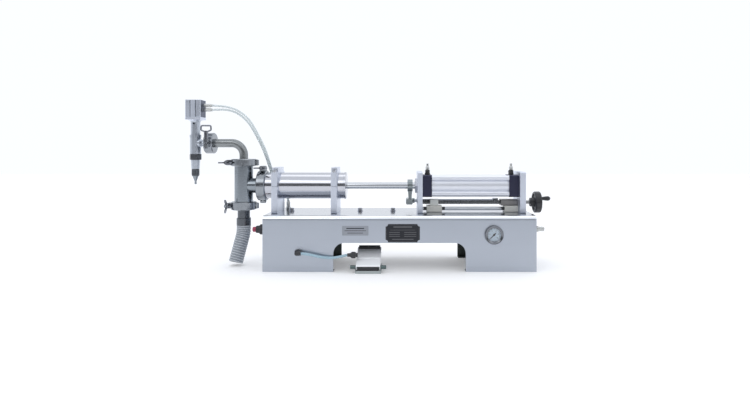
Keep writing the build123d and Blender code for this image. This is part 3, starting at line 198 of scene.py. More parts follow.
FRONT_ROUTE = [
    (-0.563, 0, 0.475), (-0.541, 0.0005, 0.474), (-0.516, 0.001, 0.471), (-0.494, 0.002, 0.464),
    (-0.476, 0.004, 0.4535), (-0.460, 0.006, 0.440), (-0.447, 0.009, 0.423), (-0.437, 0.012, 0.404),
    (-0.427, 0.016, 0.384), (-0.417, 0.021, 0.362), (-0.409, 0.027, 0.340), (-0.403, 0.034, 0.318),
    (-0.398, 0.042, 0.295), (-0.3925, 0.051, 0.270), (-0.384, 0.059, 0.246), (-0.3725, 0.064, 0.226),
    (-0.359, 0.066, 0.209), (-0.350, 0.064, 0.195), (-0.347, 0.062, 0.183),
]
REAR_ROUTE = [
    (-0.563, 0, 0.462), (-0.541, 0.0025, 0.4635), (-0.518, 0.0045, 0.4625), (-0.498, 0.007, 0.457),
    (-0.481, 0.009, 0.447), (-0.466, 0.0115, 0.434), (-0.4535, 0.0145, 0.418), (-0.4435, 0.018, 0.400),
    (-0.4335, 0.0225, 0.380), (-0.4235, 0.028, 0.358), (-0.4155, 0.0345, 0.336), (-0.4095, 0.042, 0.314),
    (-0.404, 0.050, 0.291), (-0.398, 0.059, 0.266), (-0.3895, 0.0675, 0.243), (-0.378, 0.074, 0.223),
    (-0.365, 0.078, 0.207), (-0.355, 0.0795, 0.194), (-0.351, 0.079, 0.183),
]
PEDAL_ROUTE = [
    (-0.274, -0.124, 0.0546), (-0.252, -0.124, 0.052), (-0.228, -0.1225, 0.046), (-0.204, -0.120, 0.0415),
    (-0.182, -0.117, 0.041), (-0.162, -0.1145, 0.0445), (-0.146, -0.113, 0.048),
]
for name, node, route, diameter, length, material, finish_slot in (
    ("nozzle_tube_front", "front_nozzle_tube", FRONT_ROUTE, 0.006, 0.404, clear_tube, "clear_tube"),
    ("nozzle_tube_back", "rear_nozzle_tube", REAR_ROUTE, 0.006, 0.394, clear_tube, "clear_tube"),
    ("tube_to_pedal", "pedal_tube", PEDAL_ROUTE, 0.0075, 0.130, blue_tube, "blue_tube"),
):
    line = bpy.data.curves.new(name, "CURVE")
    line.dimensions = "3D"
    spline = line.splines.new("NURBS")
    spline.points.add(len(route) - 1)
    for point, place in zip(spline.points, route):
        point.co = (*(BASE + Vector(place)), 1.0)
    spline.order_u = 3
    spline.use_endpoint_u = True
    spline.resolution_u = 12
    line.bevel_depth = diameter / 2
    line.bevel_resolution = 6
    line.use_fill_caps = True
    line.materials.append(material)
    tube = bpy.data.objects.new(name, line)
    bpy.context.scene.collection.objects.link(tube)
    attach(tube, "machine")
    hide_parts(node)


# Base housing. Stainless sheet folded over both long edges, with end plates let in and welded.
# The panels are linished along their length, and the top is polished like a mirror. The upward
# faces of the top bends carry a painted highlight, and the inward faces carry painted shade.
def worked_metal(name, colour, roughness, grain, relief=0.15, spread=0.08, mottle=0.05, patch=14.0):
    """Bare metal: a stretched noise for the lay of the tool marks, and soft patches of tone."""
    material = bpy.data.materials.new(name)
    shader_of(material).inputs["Metallic"].default_value = 1.0
    place = material.node_tree.nodes.new("ShaderNodeTexCoord").outputs["Object"]
    lay = material.node_tree.nodes.new("ShaderNodeMapping")
    lay.inputs["Scale"].default_value = grain
    material.node_tree.links.new(place, lay.inputs["Vector"])
    marks = noise(material, lay.outputs["Vector"], 1.0, 3.0)
    patchy_colour(material, noise(material, place, patch, 4.0), colour, mottle)
    uneven_gloss(material, marks, 0.3, 0.7, roughness, spread)
    fine_relief(material, marks, relief, 0.00005)
    return material


def soften(shape, width, steps=2, corner=32.0):
    """Rounds every edge of a mesh that turns by more than the given number of degrees."""
    sharp = [e for e in shape.edges if e.is_manifold and e.calc_face_angle() > math.radians(corner)]
    bmesh.ops.bevel(shape, geom=sharp, offset=width, offset_type="OFFSET", segments=steps,
                    profile=0.5, affect="EDGES", clamp_overlap=True, material=-1)


def broken_edges(node, width, steps=2):
    """A copy of a CAD piece, joined up, with its sharp corners rounded to a real radius."""
    shape = bmesh.new()
    shape.from_mesh(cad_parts[node].data)
    bmesh.ops.remove_doubles(shape, verts=shape.verts, dist=1e-5)
    bmesh.ops.dissolve_limit(shape, angle_limit=math.radians(0.8), verts=shape.verts, edges=shape.edges)
    soften(shape, width, steps)
    return shape


def finished(shape, name, materials, body, node):
    """Turns a built mesh into a piece: smooth shading, its materials, body and CAD node."""
    for face in shape.faces:
        face.smooth = True
    mesh = bpy.data.meshes.new(name)
    shape.to_mesh(mesh)
    shape.free()
    mesh.set_sharp_from_angle(angle=math.radians(40))
    for material in materials:
        mesh.materials.append(material)
    piece = bpy.data.objects.new(name, mesh)
    bpy.context.scene.collection.objects.link(piece)
    even = piece.modifiers.new("even_shading", "WEIGHTED_NORMAL")
    even.keep_sharp = True
    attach(piece, body)
    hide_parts(node)


linished = worked_metal("linished_sheet", (0.465, 0.50, 0.56), 0.34, (6, 900, 900), 0.10, 0.05, 0.05, 6.0)
mirror_top = worked_metal("polished_top", (0.48, 0.50, 0.54), 0.16, (20, 300, 300), 0.03, 0.03, 0.04)
# Painted highlight: a much paler colour on the upward faces of the top bends, for the bright band of
# reflected ceiling.
painted_highlight_bend = worked_metal("painted_highlight_bend", (0.86, 0.88, 0.92), 0.28, (6, 400, 400), 0.05, 0.04, 0.03)
# Painted shade: a near-black sheet on the housing's inward faces, for the shade inside it.
painted_shade_inside = worked_metal("painted_shade_inside", (0.10, 0.115, 0.11), 0.55, (90, 90, 90), 0.10, 0.08, 0.12)
housing = broken_edges("base_housing", 0.0004)
WALL = 0.0014
BEND = 0.016
for face in housing.faces:
    spot = face.calc_center_median()
    to_wall = min(spot.x - base_low.x, base_high.x - spot.x, spot.y - base_low.y, base_high.y - spot.y,
                  base_high.z - spot.z)
    faces_in = (base_middle - spot).dot(face.normal) > 0
    # Inward faces get the painted shade.
    if to_wall > WALL and faces_in and face.normal.z > -0.5:
        face.material_index = 3
    elif spot.z > base_high.z - BEND and face.normal.z > 0.96:
        face.material_index = 1
    # The bend's upward faces get the painted highlight.
    elif spot.z > base_high.z - BEND and face.normal.z > 0.38:
        face.material_index = 2
finished(housing, "base_sheet", [linished, mirror_top, painted_highlight_bend, painted_shade_inside], "machine",
         "base_housing")


# Control valve. A manifold and two pilot valve bodies, screwed up under the top sheet. Anodised
# and moulded parts, bought in as a unit.
valve_black = moulded("valve_black", (0.025, 0.025, 0.03), 0.42)
finished(broken_edges("control_valve", 0.0006), "pilot_valves", [valve_black], "machine",
         "control_valve")


# Screws. Zinc plated steel: the socket screws on the base's top, the clamp caps' screws and the
# gland nut, bought in and driven into tapped holes.
def join(shape, other):
    """Adds another mesh to a shape."""
    spare = bpy.data.meshes.new("spare")
    other.to_mesh(spare)
    other.free()
    shape.from_mesh(spare)
    bpy.data.meshes.remove(spare)


def turned(profile, steps=48, closed=False):
    """Spins an outline of (radius, height) in millimetres into a solid about the Z axis."""
    shape = bmesh.new()
    ring = [shape.verts.new((r / 1000, 0, h / 1000)) for r, h in profile]
    pairs = list(zip(ring, ring[1:]))
    if closed:
        pairs.append((ring[-1], ring[0]))
    edges = [shape.edges.new(pair) for pair in pairs]
    bmesh.ops.spin(shape, geom=ring + edges, cent=(0, 0, 0), axis=(0, 0, 1), angle=2 * math.pi,
                   steps=steps, use_merge=True)
    bmesh.ops.remove_doubles(shape, verts=shape.verts, dist=1e-6)
    bmesh.ops.recalc_face_normals(shape, faces=shape.faces)
    return shape


def placed(shape, point, axis=(0, 0, 1)):
    """Moves a shape made on the Z axis to its place, and turns it to its axis."""
    turn = Vector((0, 0, 1)).rotation_difference(Vector(axis)).to_matrix().to_4x4()
    bmesh.ops.transform(shape, matrix=Matrix.Translation(point) @ turn, verts=shape.verts)
    return shape


def thread(root, crest, pitch, length, steps=20):
    """A helical ridge from the origin up the Z axis, in millimetres."""
    shape = bmesh.new()
    outline = ((root, -0.42), (crest, -0.12), (crest, 0.12), (root, 0.42))
    ring = [shape.verts.new((r / 1000, 0, h * pitch / 1000)) for r, h in outline]
    edges = [shape.edges.new(pair) for pair in zip(ring, ring[1:] + ring[:1])]
    turns = round(length / pitch)
    bmesh.ops.spin(shape, geom=ring + edges, cent=(0, 0, 0), axis=(0, 0, 1), angle=2 * math.pi * turns,
                   dvec=(0, 0, pitch / steps / 1000), steps=steps * turns)
    open_ends = [e for e in shape.edges if e.is_boundary]
    bmesh.ops.edgenet_fill(shape, edges=open_ends)
    bmesh.ops.recalc_face_normals(shape, faces=shape.faces)
    return shape


zinc = worked_metal("zinc_plate", (0.55, 0.56, 0.60), 0.28, (300, 300, 300), 0.12, 0.08, 0.08, 120.0)
finished(broken_edges("screws", 0.0004), "cap_screws", [zinc], "machine", "screws")


# Cylinder supports. Two aluminium plates split across the bore, faced on a mill and clear
# anodised, that clamp round the material cylinder.
milled = worked_metal("milled_aluminium", (0.70, 0.74, 0.83), 0.42, (500, 60, 12), 0.14, 0.06, 0.05)
finished(broken_edges("cylinder_supports", 0.0007), "clamp_plates", [milled], "machine",
         "cylinder_supports")


# Material cylinder. Honed stainless tube with a turned clamp ferrule at its left end and the
# guide ring for the rod in its right end, polished all over.
pump_polish = worked_metal("pump_polish", (0.53, 0.54, 0.58), 0.14, (900, 9, 9), 0.06, 0.04, 0.04)
finished(broken_edges("material_cylinder", 0.0004), "pump_tube", [pump_polish], "machine",
         "material_cylinder")


# Pistons, rod and striker. White polymer pistons on one chromed rod, and outside the cylinder a
# split steel collar whose foot pushes the trip rod with its dog past the two sensors.
polymer = moulded("white_polymer", (0.80, 0.80, 0.77), 0.40, 700.0, 0.08, 0.03)
finished(broken_edges("pistons", 0.0005), "piston_heads", [polymer], "piston_set", "pistons")
chrome = worked_metal("chrome", (0.58, 0.60, 0.63), 0.10, (700, 6, 6), 0.03, 0.03, 0.03)
finished(broken_edges("piston_rod", 0.0006), "rod", [chrome], "piston_set", "piston_rod")
striker_steel = worked_metal("striker_steel", (0.26, 0.29, 0.30), 0.30, (30, 600, 30), 0.12, 0.06, 0.05)
finished(broken_edges("striker_arm", 0.0006), "striker", [striker_steel], "piston_set",
         "striker_arm")
finished(broken_edges("trip_rod", 0.0006), "trip_rod_and_dog", [chrome], "piston_set",
         "trip_rod")


# Check valve. An upright stainless body with a branch to the pump and a clamp ferrule on each
# opening, welded and polished, and inside it two pressed-in seats under winged poppets.
fitting_steel = worked_metal("fitting_steel", (0.28, 0.31, 0.34), 0.24, (9, 9, 900), 0.07, 0.05, 0.06)
finished(broken_edges("valve_body", 0.0005), "check_valve_body", [fitting_steel], "machine",
         "valve_body")
finished(broken_edges("valve_seats", 0.0003), "seat_rings", [polymer], "machine",
         "valve_seats")
finished(broken_edges("inlet_poppet", 0.0003), "lower_poppet", [fitting_steel], "inlet_check",
         "inlet_poppet")
finished(broken_edges("outlet_poppet", 0.0003), "upper_poppet", [fitting_steel], "outlet_check",
         "outlet_poppet")
finished(broken_edges("gaskets", 0.0003), "clamp_seals", [polymer], "machine", "gaskets")


# Delivery pipe. Stainless tube bent once on a mandrel, with a ferrule welded on each end, and
# polished all over.
pipe_polish = worked_metal("pipe_polish", (0.27, 0.285, 0.29), 0.30, (40, 40, 40), 0.05, 0.05, 0.05)
finished(broken_edges("delivery_pipe", 0.0005), "bent_pipe", [pipe_polish], "machine",
         "delivery_pipe")


# Nozzle. A turned tee under a bonnet with a sight hole, a union nut, a tapering sleeve, and the
# tip in its knurled nut. A plunger runs down through all of it from the air piston on top.
nozzle_steel = worked_metal("nozzle_steel", (0.50, 0.54, 0.60), 0.36, (9, 9, 900), 0.07, 0.05, 0.05)
for node, name in (("nozzle_tee", "tee"), ("nozzle_bonnet", "bonnet"), ("nozzle_sleeve", "sleeve")):
    finished(broken_edges(node, 0.0005), name, [nozzle_steel], "machine", node)
finished(broken_edges("nozzle_plunger", 0.0004), "plunger", [nozzle_steel], "plunger",
         "nozzle_plunger")
finished(broken_edges("nozzle_tip", 0.0002), "tip", [fitting_steel], "machine", "nozzle_tip")


def knurl(shape, radius, low, high, depth, steps):
    """Cuts straight grooves between every second row of points of a turned rim."""
    for vert in shape.verts:
        x, y, z = vert.co * 1000
        column = round(math.atan2(y, x) / (2 * math.pi) * steps)
        if column % 2 and low <= z <= high and math.hypot(x, y) > radius - 0.01:
            vert.co.x *= (radius - depth) / radius
            vert.co.y *= (radius - depth) / radius


knurled_steel = worked_metal("knurled_steel", (0.13, 0.14, 0.155), 0.30, (60, 60, 500), 0.10, 0.06, 0.10)
NOZZLE_X = -613
NOZZLE = at(NOZZLE_X, 0, 0)
union = turned([(12, 312), (16.6, 312), (17.9, 313.2), (17.9, 328.8), (16.6, 330), (12, 330)], 6, True)
soften(union, 0.0006, 2, 40)
nuts = bmesh.new()
join(nuts, placed(union, NOZZLE))
TIP_NUT = 11.0
TIP_NUT_GROOVES = 72
tip_nut = turned([
    (8, 264), (10, 264), (TIP_NUT, 265.2), (TIP_NUT, 266), (TIP_NUT, 282.6), (TIP_NUT, 283.6), (10, 285),
    (8, 285),
], TIP_NUT_GROOVES, True)
knurl(tip_nut, TIP_NUT, 265.5, 283.0, 0.55, TIP_NUT_GROOVES)
join(nuts, placed(tip_nut, NOZZLE))
finished(nuts, "nozzle_nut_set", [knurled_steel], "machine", "nozzle_nuts")


# Nozzle cylinder. A compact square air cylinder, extruded and clear anodised, with four sunk cap
# screws, standing on a plate that tapers to the bonnet.
extruded = worked_metal("extruded_aluminium", (0.72, 0.77, 0.87), 0.38, (60, 60, 6), 0.10, 0.06, 0.04)
# Dark anodise for the port face, also used as painted shade on the floors of the side grooves.
port_anodise_and_groove_shade = worked_metal("port_anodise_and_groove_shade", (0.10, 0.115, 0.16), 0.36, (60, 60, 6), 0.10, 0.06, 0.08)
PLATE_TOP = 0.439
GROOVE_X = 8
GROOVE_HALF = 1.2
GROOVE_DEPTH = 0.0016
SCREW_OFFSET = 17
block_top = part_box("nozzle_air_cylinder")[1]


def on_block(spot):
    """Whether a point is on the square block, between its foot and its top face."""
    return PLATE_TOP + 0.0005 < spot.z < block_top.z - 0.0005


block = broken_edges("nozzle_air_cylinder", 0.0007)
for groove in (-GROOVE_X, GROOVE_X):
    for side in (-GROOVE_HALF, GROOVE_HALF):
        bmesh.ops.bisect_plane(block, geom=block.verts[:] + block.edges[:] + block.faces[:],
                               plane_co=at(NOZZLE_X + groove + side, 0, 0), plane_no=(1, 0, 0))
    strips = []
    for face in block.faces:
        spot = face.calc_center_median()
        in_groove = abs(spot.x - at(NOZZLE_X + groove, 0, 0).x) < GROOVE_HALF / 1000
        outer_side = abs(face.normal.y) > 0.9 and abs(spot.y - BASE.y) > 0.02
        if in_groove and outer_side and on_block(spot):
            strips.append(face)
    for face in strips:
        inward = -face.normal * GROOVE_DEPTH
        sunk = bmesh.ops.extrude_discrete_faces(block, faces=[face])["faces"]
        # The groove floor takes the dark port colour: painted shade in the recess.
        sunk[0].material_index = 1
        bmesh.ops.translate(block, vec=inward, verts=sunk[0].verts[:])
for face in block.faces:
    spot = face.calc_center_median()
    if face.normal.x > 0.9 and spot.x > block_top.x - 0.001 and on_block(spot):
        face.material_index = 1
    elif spot.z < PLATE_TOP - 0.0002:
        face.material_index = 2
for dx in (-SCREW_OFFSET, SCREW_OFFSET):
    for dy in (-SCREW_OFFSET, SCREW_OFFSET):
        head = turned([
            (0, 486.4), (1.5, 486.4), (1.5, 488.6), (2.7, 488.6), (3.1, 488.2), (3.1, 486.0), (0, 486.0),
        ], 24)
        join(block, placed(head, at(NOZZLE_X + dx, dy, 0)))
finished(block, "square_cylinder", [extruded, port_anodise_and_groove_shade, milled], "machine",
         "nozzle_air_cylinder")


# Suction hose. A stiff grey hose with a helical rib, pushed over the adapter's spigot under a
# turned coupling, and cut square at its lower end.
finished(broken_edges("suction_adapter", 0.0005), "hose_adapter", [knurled_steel], "machine",
         "suction_adapter")
HOSE_TOP = at(-468, 0, 116)
HOSE_LENGTH = 111.0
HOSE_OUTER = 21.3
HOSE_BORE = 16.5
HOSE_SKIN = 20.0
HOSE_CORNER = 20.0
HOSE_BEND_RADIUS = 70.0
RIB_PITCH = 7.2
RIB_DEPTH = 1.6
lean = Vector((-16.0, -26.0, -86.0)).normalized()
tilt = math.acos(-lean.z)
HOSE_DOWN = HOSE_CORNER - HOSE_BEND_RADIUS * math.tan(tilt / 2)
HOSE_ARC = HOSE_BEND_RADIUS * tilt
outward = Vector((lean.x, lean.y, 0)).normalized()
across = Vector((0, 0, -1)).cross(outward)


def along_hose(s):
    """Centre and outward direction of the hose, s millimetres down from its top."""
    turn = min(max(s - HOSE_DOWN, 0) / HOSE_BEND_RADIUS, tilt)
    straight = min(s, HOSE_DOWN)
    rest = max(s - HOSE_DOWN - HOSE_ARC, 0)
    side = HOSE_BEND_RADIUS * (1 - math.cos(turn)) + rest * math.sin(turn)
    down = straight + HOSE_BEND_RADIUS * math.sin(turn) + rest * math.cos(turn)
    centre = outward * side - Vector((0, 0, down))
    return centre, outward * math.cos(turn) + Vector((0, 0, math.sin(turn)))


rings = 150
outline = [(HOSE_OUTER, -HOSE_LENGTH * i / rings) for i in range(rings + 1)]
hose = turned(outline + [(HOSE_BORE, -HOSE_LENGTH), (HOSE_BORE, 0)], 48, True)
for face in hose.faces:
    x, y, z = face.calc_center_median() * 1000
    crest = math.cos(2 * math.pi * z / RIB_PITCH + math.atan2(y, x)) > 0.35
    if math.hypot(x, y) > HOSE_SKIN and crest:
        face.material_index = 1
for vert in hose.verts:
    x, y, z = vert.co * 1000
    around = math.atan2(y, x)
    reach = math.hypot(x, y)
    if reach > HOSE_SKIN:
        reach -= RIB_DEPTH / 2 * (1 - math.cos(2 * math.pi * z / RIB_PITCH + around))
    centre, out = along_hose(-z)
    offset = out * reach * math.cos(around) - across * reach * math.sin(around)
    vert.co = HOSE_TOP + (centre + offset) / 1000
bmesh.ops.recalc_face_normals(hose, faces=hose.faces)
hose_grey = moulded("hose_grey", (0.26, 0.285, 0.32), 0.38, 500.0, 0.10, 0.08)
hose_rib = moulded("hose_rib", (0.48, 0.51, 0.55), 0.34, 500.0, 0.08, 0.06)
finished(hose, "ribbed_hose", [hose_grey, hose_rib], "machine", "suction_hose")


# Hygienic clamps. Two cast and tumbled half rings, hinged on a pin, that squeeze a pair of
# ferrules over a seal. A bolt with a rolled thread swings between their lugs under a wing nut.
clamp_steel = worked_metal("clamp_steel", (0.30, 0.32, 0.345), 0.22, (120, 120, 120), 0.16, 0.06,
                           0.08, 60.0)
bolt_steel = worked_metal("bolt_steel", (0.24, 0.25, 0.28), 0.22, (300, 300, 300), 0.10, 0.06, 0.06)
BOLT_END = 0.0247
FORWARDS = Vector((0, -1, 0))
UPWARDS = Vector((0, 0, 1))
for node, name, body, nut, nut_name, bolt_point, bolt_axis in (
    ("valve_top_clamp", "upper_clamp", "top_nut", "top_wing_nut", "upper_wing_nut",
     (-513.5, 0, 304), FORWARDS),
    ("valve_bottom_clamp", "lower_clamp", "bottom_nut", "bottom_wing_nut", "lower_wing_nut",
     (-513.5, 0, 175), FORWARDS),
    ("pump_clamp", "pump_joint_clamp", "pump_nut", "pump_wing_nut", "pump_joint_wing_nut",
     (-409.5, 0, 288), FORWARDS),
    ("nozzle_clamp", "nozzle_joint_clamp", "nozzle_nut", "nozzle_loop_nut", "loop_handle_nut",
     (-567.5, -39, 362), UPWARDS),
):
    ring = broken_edges(node, 0.0008)
    join(ring, placed(thread(2.9, 3.25, 1.25, 5.0), at(*bolt_point) + bolt_axis * BOLT_END, bolt_axis))
    finished(ring, name, [clamp_steel], "machine", node)
    finished(broken_edges(nut, 0.0009, 3), nut_name, [bolt_steel], body, nut)


# Air cylinder. Two aluminium end plates stand on the base and hold a profiled barrel between
# dark anodised caps on four tie rods.
finished(broken_edges("air_plates", 0.0007), "end_plates", [milled], "machine", "air_plates")
cap_anodise = worked_metal("cap_anodise", (0.050, 0.052, 0.085), 0.36, (80, 400, 80), 0.12, 0.06, 0.10)
caps = broken_edges("air_caps", 0.0012, 3)
gland_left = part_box("air_plates")[0].x + 0.001
for face in caps.faces:
    if face.calc_center_median().x < gland_left:
        face.material_index = 1
finished(caps, "cylinder_caps", [cap_anodise, zinc], "machine", "air_caps")
barrel_anodise = worked_metal("barrel_anodise", (0.80, 0.82, 0.88), 0.44, (5, 900, 900), 0.02, 0.03, 0.02)
finished(broken_edges("air_barrel", 0.0005), "profile_barrel", [barrel_anodise], "machine",
         "air_barrel")
finished(broken_edges("tie_rods", 0.0004), "tie_bars", [chrome], "machine", "tie_rods")


# Speed valves. A moulded body with a hexagon foot on each cap, and a nickel plated needle screw
# with a knurled head that sets how fast the piston moves.
speed_black = moulded("speed_valve_black", (0.03, 0.03, 0.033), 0.35)
finished(broken_edges("flow_valves", 0.0004), "speed_valves", [speed_black], "machine",
         "flow_valves")
nickel = worked_metal("nickel_plate", (0.55, 0.56, 0.55), 0.22, (200, 200, 600), 0.10, 0.06, 0.06)
KNOB = 5.6
KNOB_GROOVES = 40
KNOB_TOP = 28.5
needle_outline = [
    (0, 0), (3, 1), (3, 9.4), (5.2, 9.4), (KNOB, 9.8), (KNOB, 10.4), (KNOB, 16.8), (KNOB, 17.4), (4.2, 20.4),
    (3.6, 21), (3.6, 28), (3.1, KNOB_TOP), (0, KNOB_TOP),
]
for node, x, body in (
    ("front_flow_screw", 84, "front_speed_screw"), ("rear_flow_screw", 335, "rear_speed_screw"),
):
    needle = turned(needle_outline, KNOB_GROOVES)
    knurl(needle, KNOB, 10.0, 17.0, 0.35, KNOB_GROOVES)
    for vert in needle.verts:
        if vert.co.z * 1000 > KNOB_TOP - 0.1 and abs(vert.co.y) < 0.0006:
            vert.co.z -= 0.0006
    finished(placed(needle, at(x, 0, 272.5)), node + "_knob", [nickel], body, node)


# Volume setting. The handwheel turns a lead screw with a rolled thread. It carries a pale nut
# block and a sensor along the guide rod, towards a second sensor fixed at the far end.
SCREW_Z = 185
screw_steel = worked_metal("screw_steel", (0.24, 0.245, 0.25), 0.28, (300, 20, 20), 0.08, 0.06, 0.08)
core = [
    (0, 0), (4.6, 0), (5, 0.4), (5, 10), (5.4, 10.4), (5.4, 240.2), (5, 240.5), (5, 361.1), (4.6, 361.5),
    (0, 361.5),
]
spindle = turned(core, 32)
join(spindle, placed(thread(5.3, 6.2, 3.0, 228.0), Vector((0, 0, 0.0112))))
finished(placed(spindle, at(59.5, 0, SCREW_Z), (1, 0, 0)), "threaded_spindle", [screw_steel],
         "handwheel_set", "lead_screw")
guide_chrome = worked_metal("guide_chrome", (0.88, 0.91, 0.94), 0.30, (700, 6, 6), 0.03, 0.03, 0.03)
finished(broken_edges("guide_rod", 0.0005), "guide_bar", [guide_chrome], "machine", "guide_rod")
block_anodise = worked_metal("block_anodise", (0.24, 0.235, 0.235), 0.34, (80, 80, 300), 0.12, 0.06, 0.10)
finished(broken_edges("bearing_block", 0.0007), "screw_bearing", [block_anodise], "machine",
         "bearing_block")
sensor_cream = moulded("sensor_cream", (0.66, 0.655, 0.61), 0.38, 500.0, 0.10, 0.05)
nut_cream = moulded("nut_cream", (0.72, 0.74, 0.72), 0.38, 500.0, 0.10, 0.04)
gland_dark = moulded("gland_dark", (0.035, 0.035, 0.04), 0.40, 600.0, 0.08)
fixed = broken_edges("end_sensor", 0.0005)
fixed_gland = at(312.3, 0, 0).x
for face in fixed.faces:
    if face.calc_center_median().x < fixed_gland:
        face.material_index = 1
finished(fixed, "fixed_sensor", [sensor_cream, gland_dark], "machine", "end_sensor")
traveller = broken_edges("sensor_carriage", 0.0005)
sensor_left, sensor_right = at(80.8, 0, 0).x, at(126.2, 0, 0).x
sensor_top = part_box("end_sensor")[1].z + 0.0002
for face in traveller.faces:
    spot = face.calc_center_median()
    if spot.z > sensor_top:
        face.material_index = 1
    elif not sensor_left < spot.x < sensor_right:
        face.material_index = 2
finished(traveller, "moving_sensor", [sensor_cream, nut_cream, gland_dark], "carriage",
         "sensor_carriage")


# Handwheel. Moulded in black phenolic with a scalloped rim, with a steel post pressed in for the
# revolving grip.
phenolic = moulded("phenolic", (0.018, 0.018, 0.022), 0.36, 600.0, 0.06, 0.10, 0.1)
RIM = 32.0
SCALLOPS = 12
SCALLOP_DEPTH = 0.7
SCALLOP_FROM = 28.5
dish = [
    (5, 0), (12.4, 0), (13, 0.6), (14, 13), (15, 14.2), (22, 15.6), (24, 15.2), (24.6, 12.6), (25.4, 12),
    (29, 12), (31, 13), (RIM, 15), (RIM, 18), (RIM, 25), (RIM, 28), (31, 30.2), (29, 31), (25.6, 31),
    (24.6, 30.4), (24, 25), (22.5, 24), (13, 24), (12, 24.6), (10.4, 35.4), (9.8, 36), (5, 36),
]
wheel = turned(dish, 96, True)
for vert in wheel.verts:
    reach = math.hypot(vert.co.x, vert.co.y) * 1000
    if reach > SCALLOP_FROM:
        wave = 0.5 - 0.5 * math.cos(SCALLOPS * math.atan2(vert.co.y, vert.co.x))
        dent = SCALLOP_DEPTH * wave * (reach - SCALLOP_FROM) / (RIM - SCALLOP_FROM)
        vert.co.x *= (reach - dent) / reach
        vert.co.y *= (reach - dent) / reach
wheel = placed(wheel, at(391, 0, SCREW_Z), (1, 0, 0))
GRIP = (-18, SCREW_Z + 12.5)
post = turned([(0, 0), (2.5, 0), (2.5, 37), (4, 37), (4, 38), (3.4, 38.5), (0, 38.5)], 24)
steel_faces = len(wheel.faces)
join(wheel, placed(post, at(409, *GRIP), (1, 0, 0)))
wheel.faces.ensure_lookup_table()
for face in wheel.faces[steel_faces:]:
    face.material_index = 1
finished(wheel, "handwheel_rim", [phenolic, zinc], "handwheel_set", "handwheel")
GRIP_BORE = 2.56
handle = turned([
    (GRIP_BORE, 0), (4.4, 0), (5, 0.6), (5.3, 4), (5.9, 8), (6.6, 13), (7, 16.5), (6.8, 19), (6.2, 21.2),
    (5.2, 23.1), (GRIP_BORE, 23.1),
], 48, True)
finished(placed(handle, at(422.6, *GRIP), (1, 0, 0)), "revolving_grip", [phenolic], "grip",
         "handwheel_grip")


# Name plates. Thin etched plates, bonded to the front panel. The larger one has notched corners
# and an engraved border, with plain bars where a plate carries its lettering.
plate_dark = worked_metal("etched_plate", (0.046, 0.048, 0.054), 0.38, (300, 300, 300), 0.10, 0.06, 0.08)
plate_print = moulded("plate_print", (0.11, 0.11, 0.12), 0.45, 800.0, 0.05, 0.04)
label_grey = moulded("label_grey", (0.30, 0.32, 0.36), 0.45, 800.0, 0.05, 0.04)
plates = broken_edges("name_plates", 0.0002, 1)
SMALL_PLATE_END = at(-80, 0, 0).x
PLATE_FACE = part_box("name_plates")[0].y
for face in plates.faces:
    if face.calc_center_median().x < SMALL_PLATE_END:
        face.material_index = 2
for vert in plates.verts:
    if vert.co.y < PLATE_FACE + 0.00015:
        vert.co.y += 0.00012


def bar(shape, x, z, width, height, y, depth, material_index):
    """A thin printed bar, standing just proud of the sheet it is on."""
    made = bmesh.ops.create_cube(shape, size=1.0)["verts"]
    bmesh.ops.scale(shape, vec=(width / 1000, depth / 1000, height / 1000), verts=made)
    bmesh.ops.translate(shape, vec=at(x, y + depth / 2, z), verts=made)
    for face in {f for v in made for f in v.link_faces}:
        face.material_index = material_index


PLATE_X = 9
LABEL_X = -124
PRINT = 0.15
columns = [(x, z, width, 1.6) for z in (111, 105.5, 100) for x, width in ((-14, 30), (30, 34))]
border = [(PLATE_X, z, 76, 0.7) for z in (131.6, 85.4)] + [(x, 108.5, 0.7, 34) for x in (-36.6, 54.6)]
for x, z, width, height in [(PLATE_X, 126.0, 52, 3.4), (PLATE_X, 117.5, 70, 1.0), *columns,
                            (PLATE_X, 91.5, 60, 2.2), *border]:
    bar(plates, x, z, width, height, -111.2, PRINT, 1)
for z, width, height in ((122, 50, 2.6), (115.5, 60, 1.4), (109, 44, 1.4)):
    bar(plates, LABEL_X, z, width, height, -110.9, PRINT, 0)
finished(plates, "etched_plates", [plate_dark, plate_print, label_grey], "machine", "name_plates")


# Pressure gauge. A pressed steel case behind a rolled bezel, a white enamelled dial with painted
# graduations, a needle on its spindle, and a clear lens.
GAUGE_FACE = at(264.6, -110.1, 104.0)
bezel_steel = worked_metal("bezel_steel", (0.20, 0.21, 0.23), 0.24, (300, 300, 300), 0.06, 0.05, 0.06)
case = turned([
    (0, -0.4), (22.8, -0.4), (22.8, -5.7), (19.2, -5.7), (19, -6.2), (19.6, -6.8), (23.6, -8.8), (24.6, -9),
    (25.4, -8.4), (26, -7), (26, -0.4),
    (25.6, 0.1), (21, 0.1), (21, 27.4), (20.4, 28), (6.6, 28), (6, 28.6), (6, 38), (0, 38),
], 72)
finished(placed(case, GAUGE_FACE, (0, 1, 0)), "gauge_body", [bezel_steel], "machine", "gauge_case")
enamel = moulded("dial_enamel", (0.82, 0.89, 0.98), 0.30, 800.0, 0.03, 0.02)
dial_ink = moulded("dial_ink", (0.03, 0.03, 0.035), 0.40, 800.0, 0.03, 0.05)
dial = placed(turned([(0, -1.0), (22.6, -1.0), (22.6, -0.5), (0, -0.5)], 64), GAUGE_FACE, (0, 1, 0))
FIRST_MARK = 135
SWEEP = 270
MARKS = 50
NUMERALS = ("0", "2", "4", "6", "8", "10")
MARK_RADIUS = 0.0165
NUMERAL_RADIUS = 0.0118
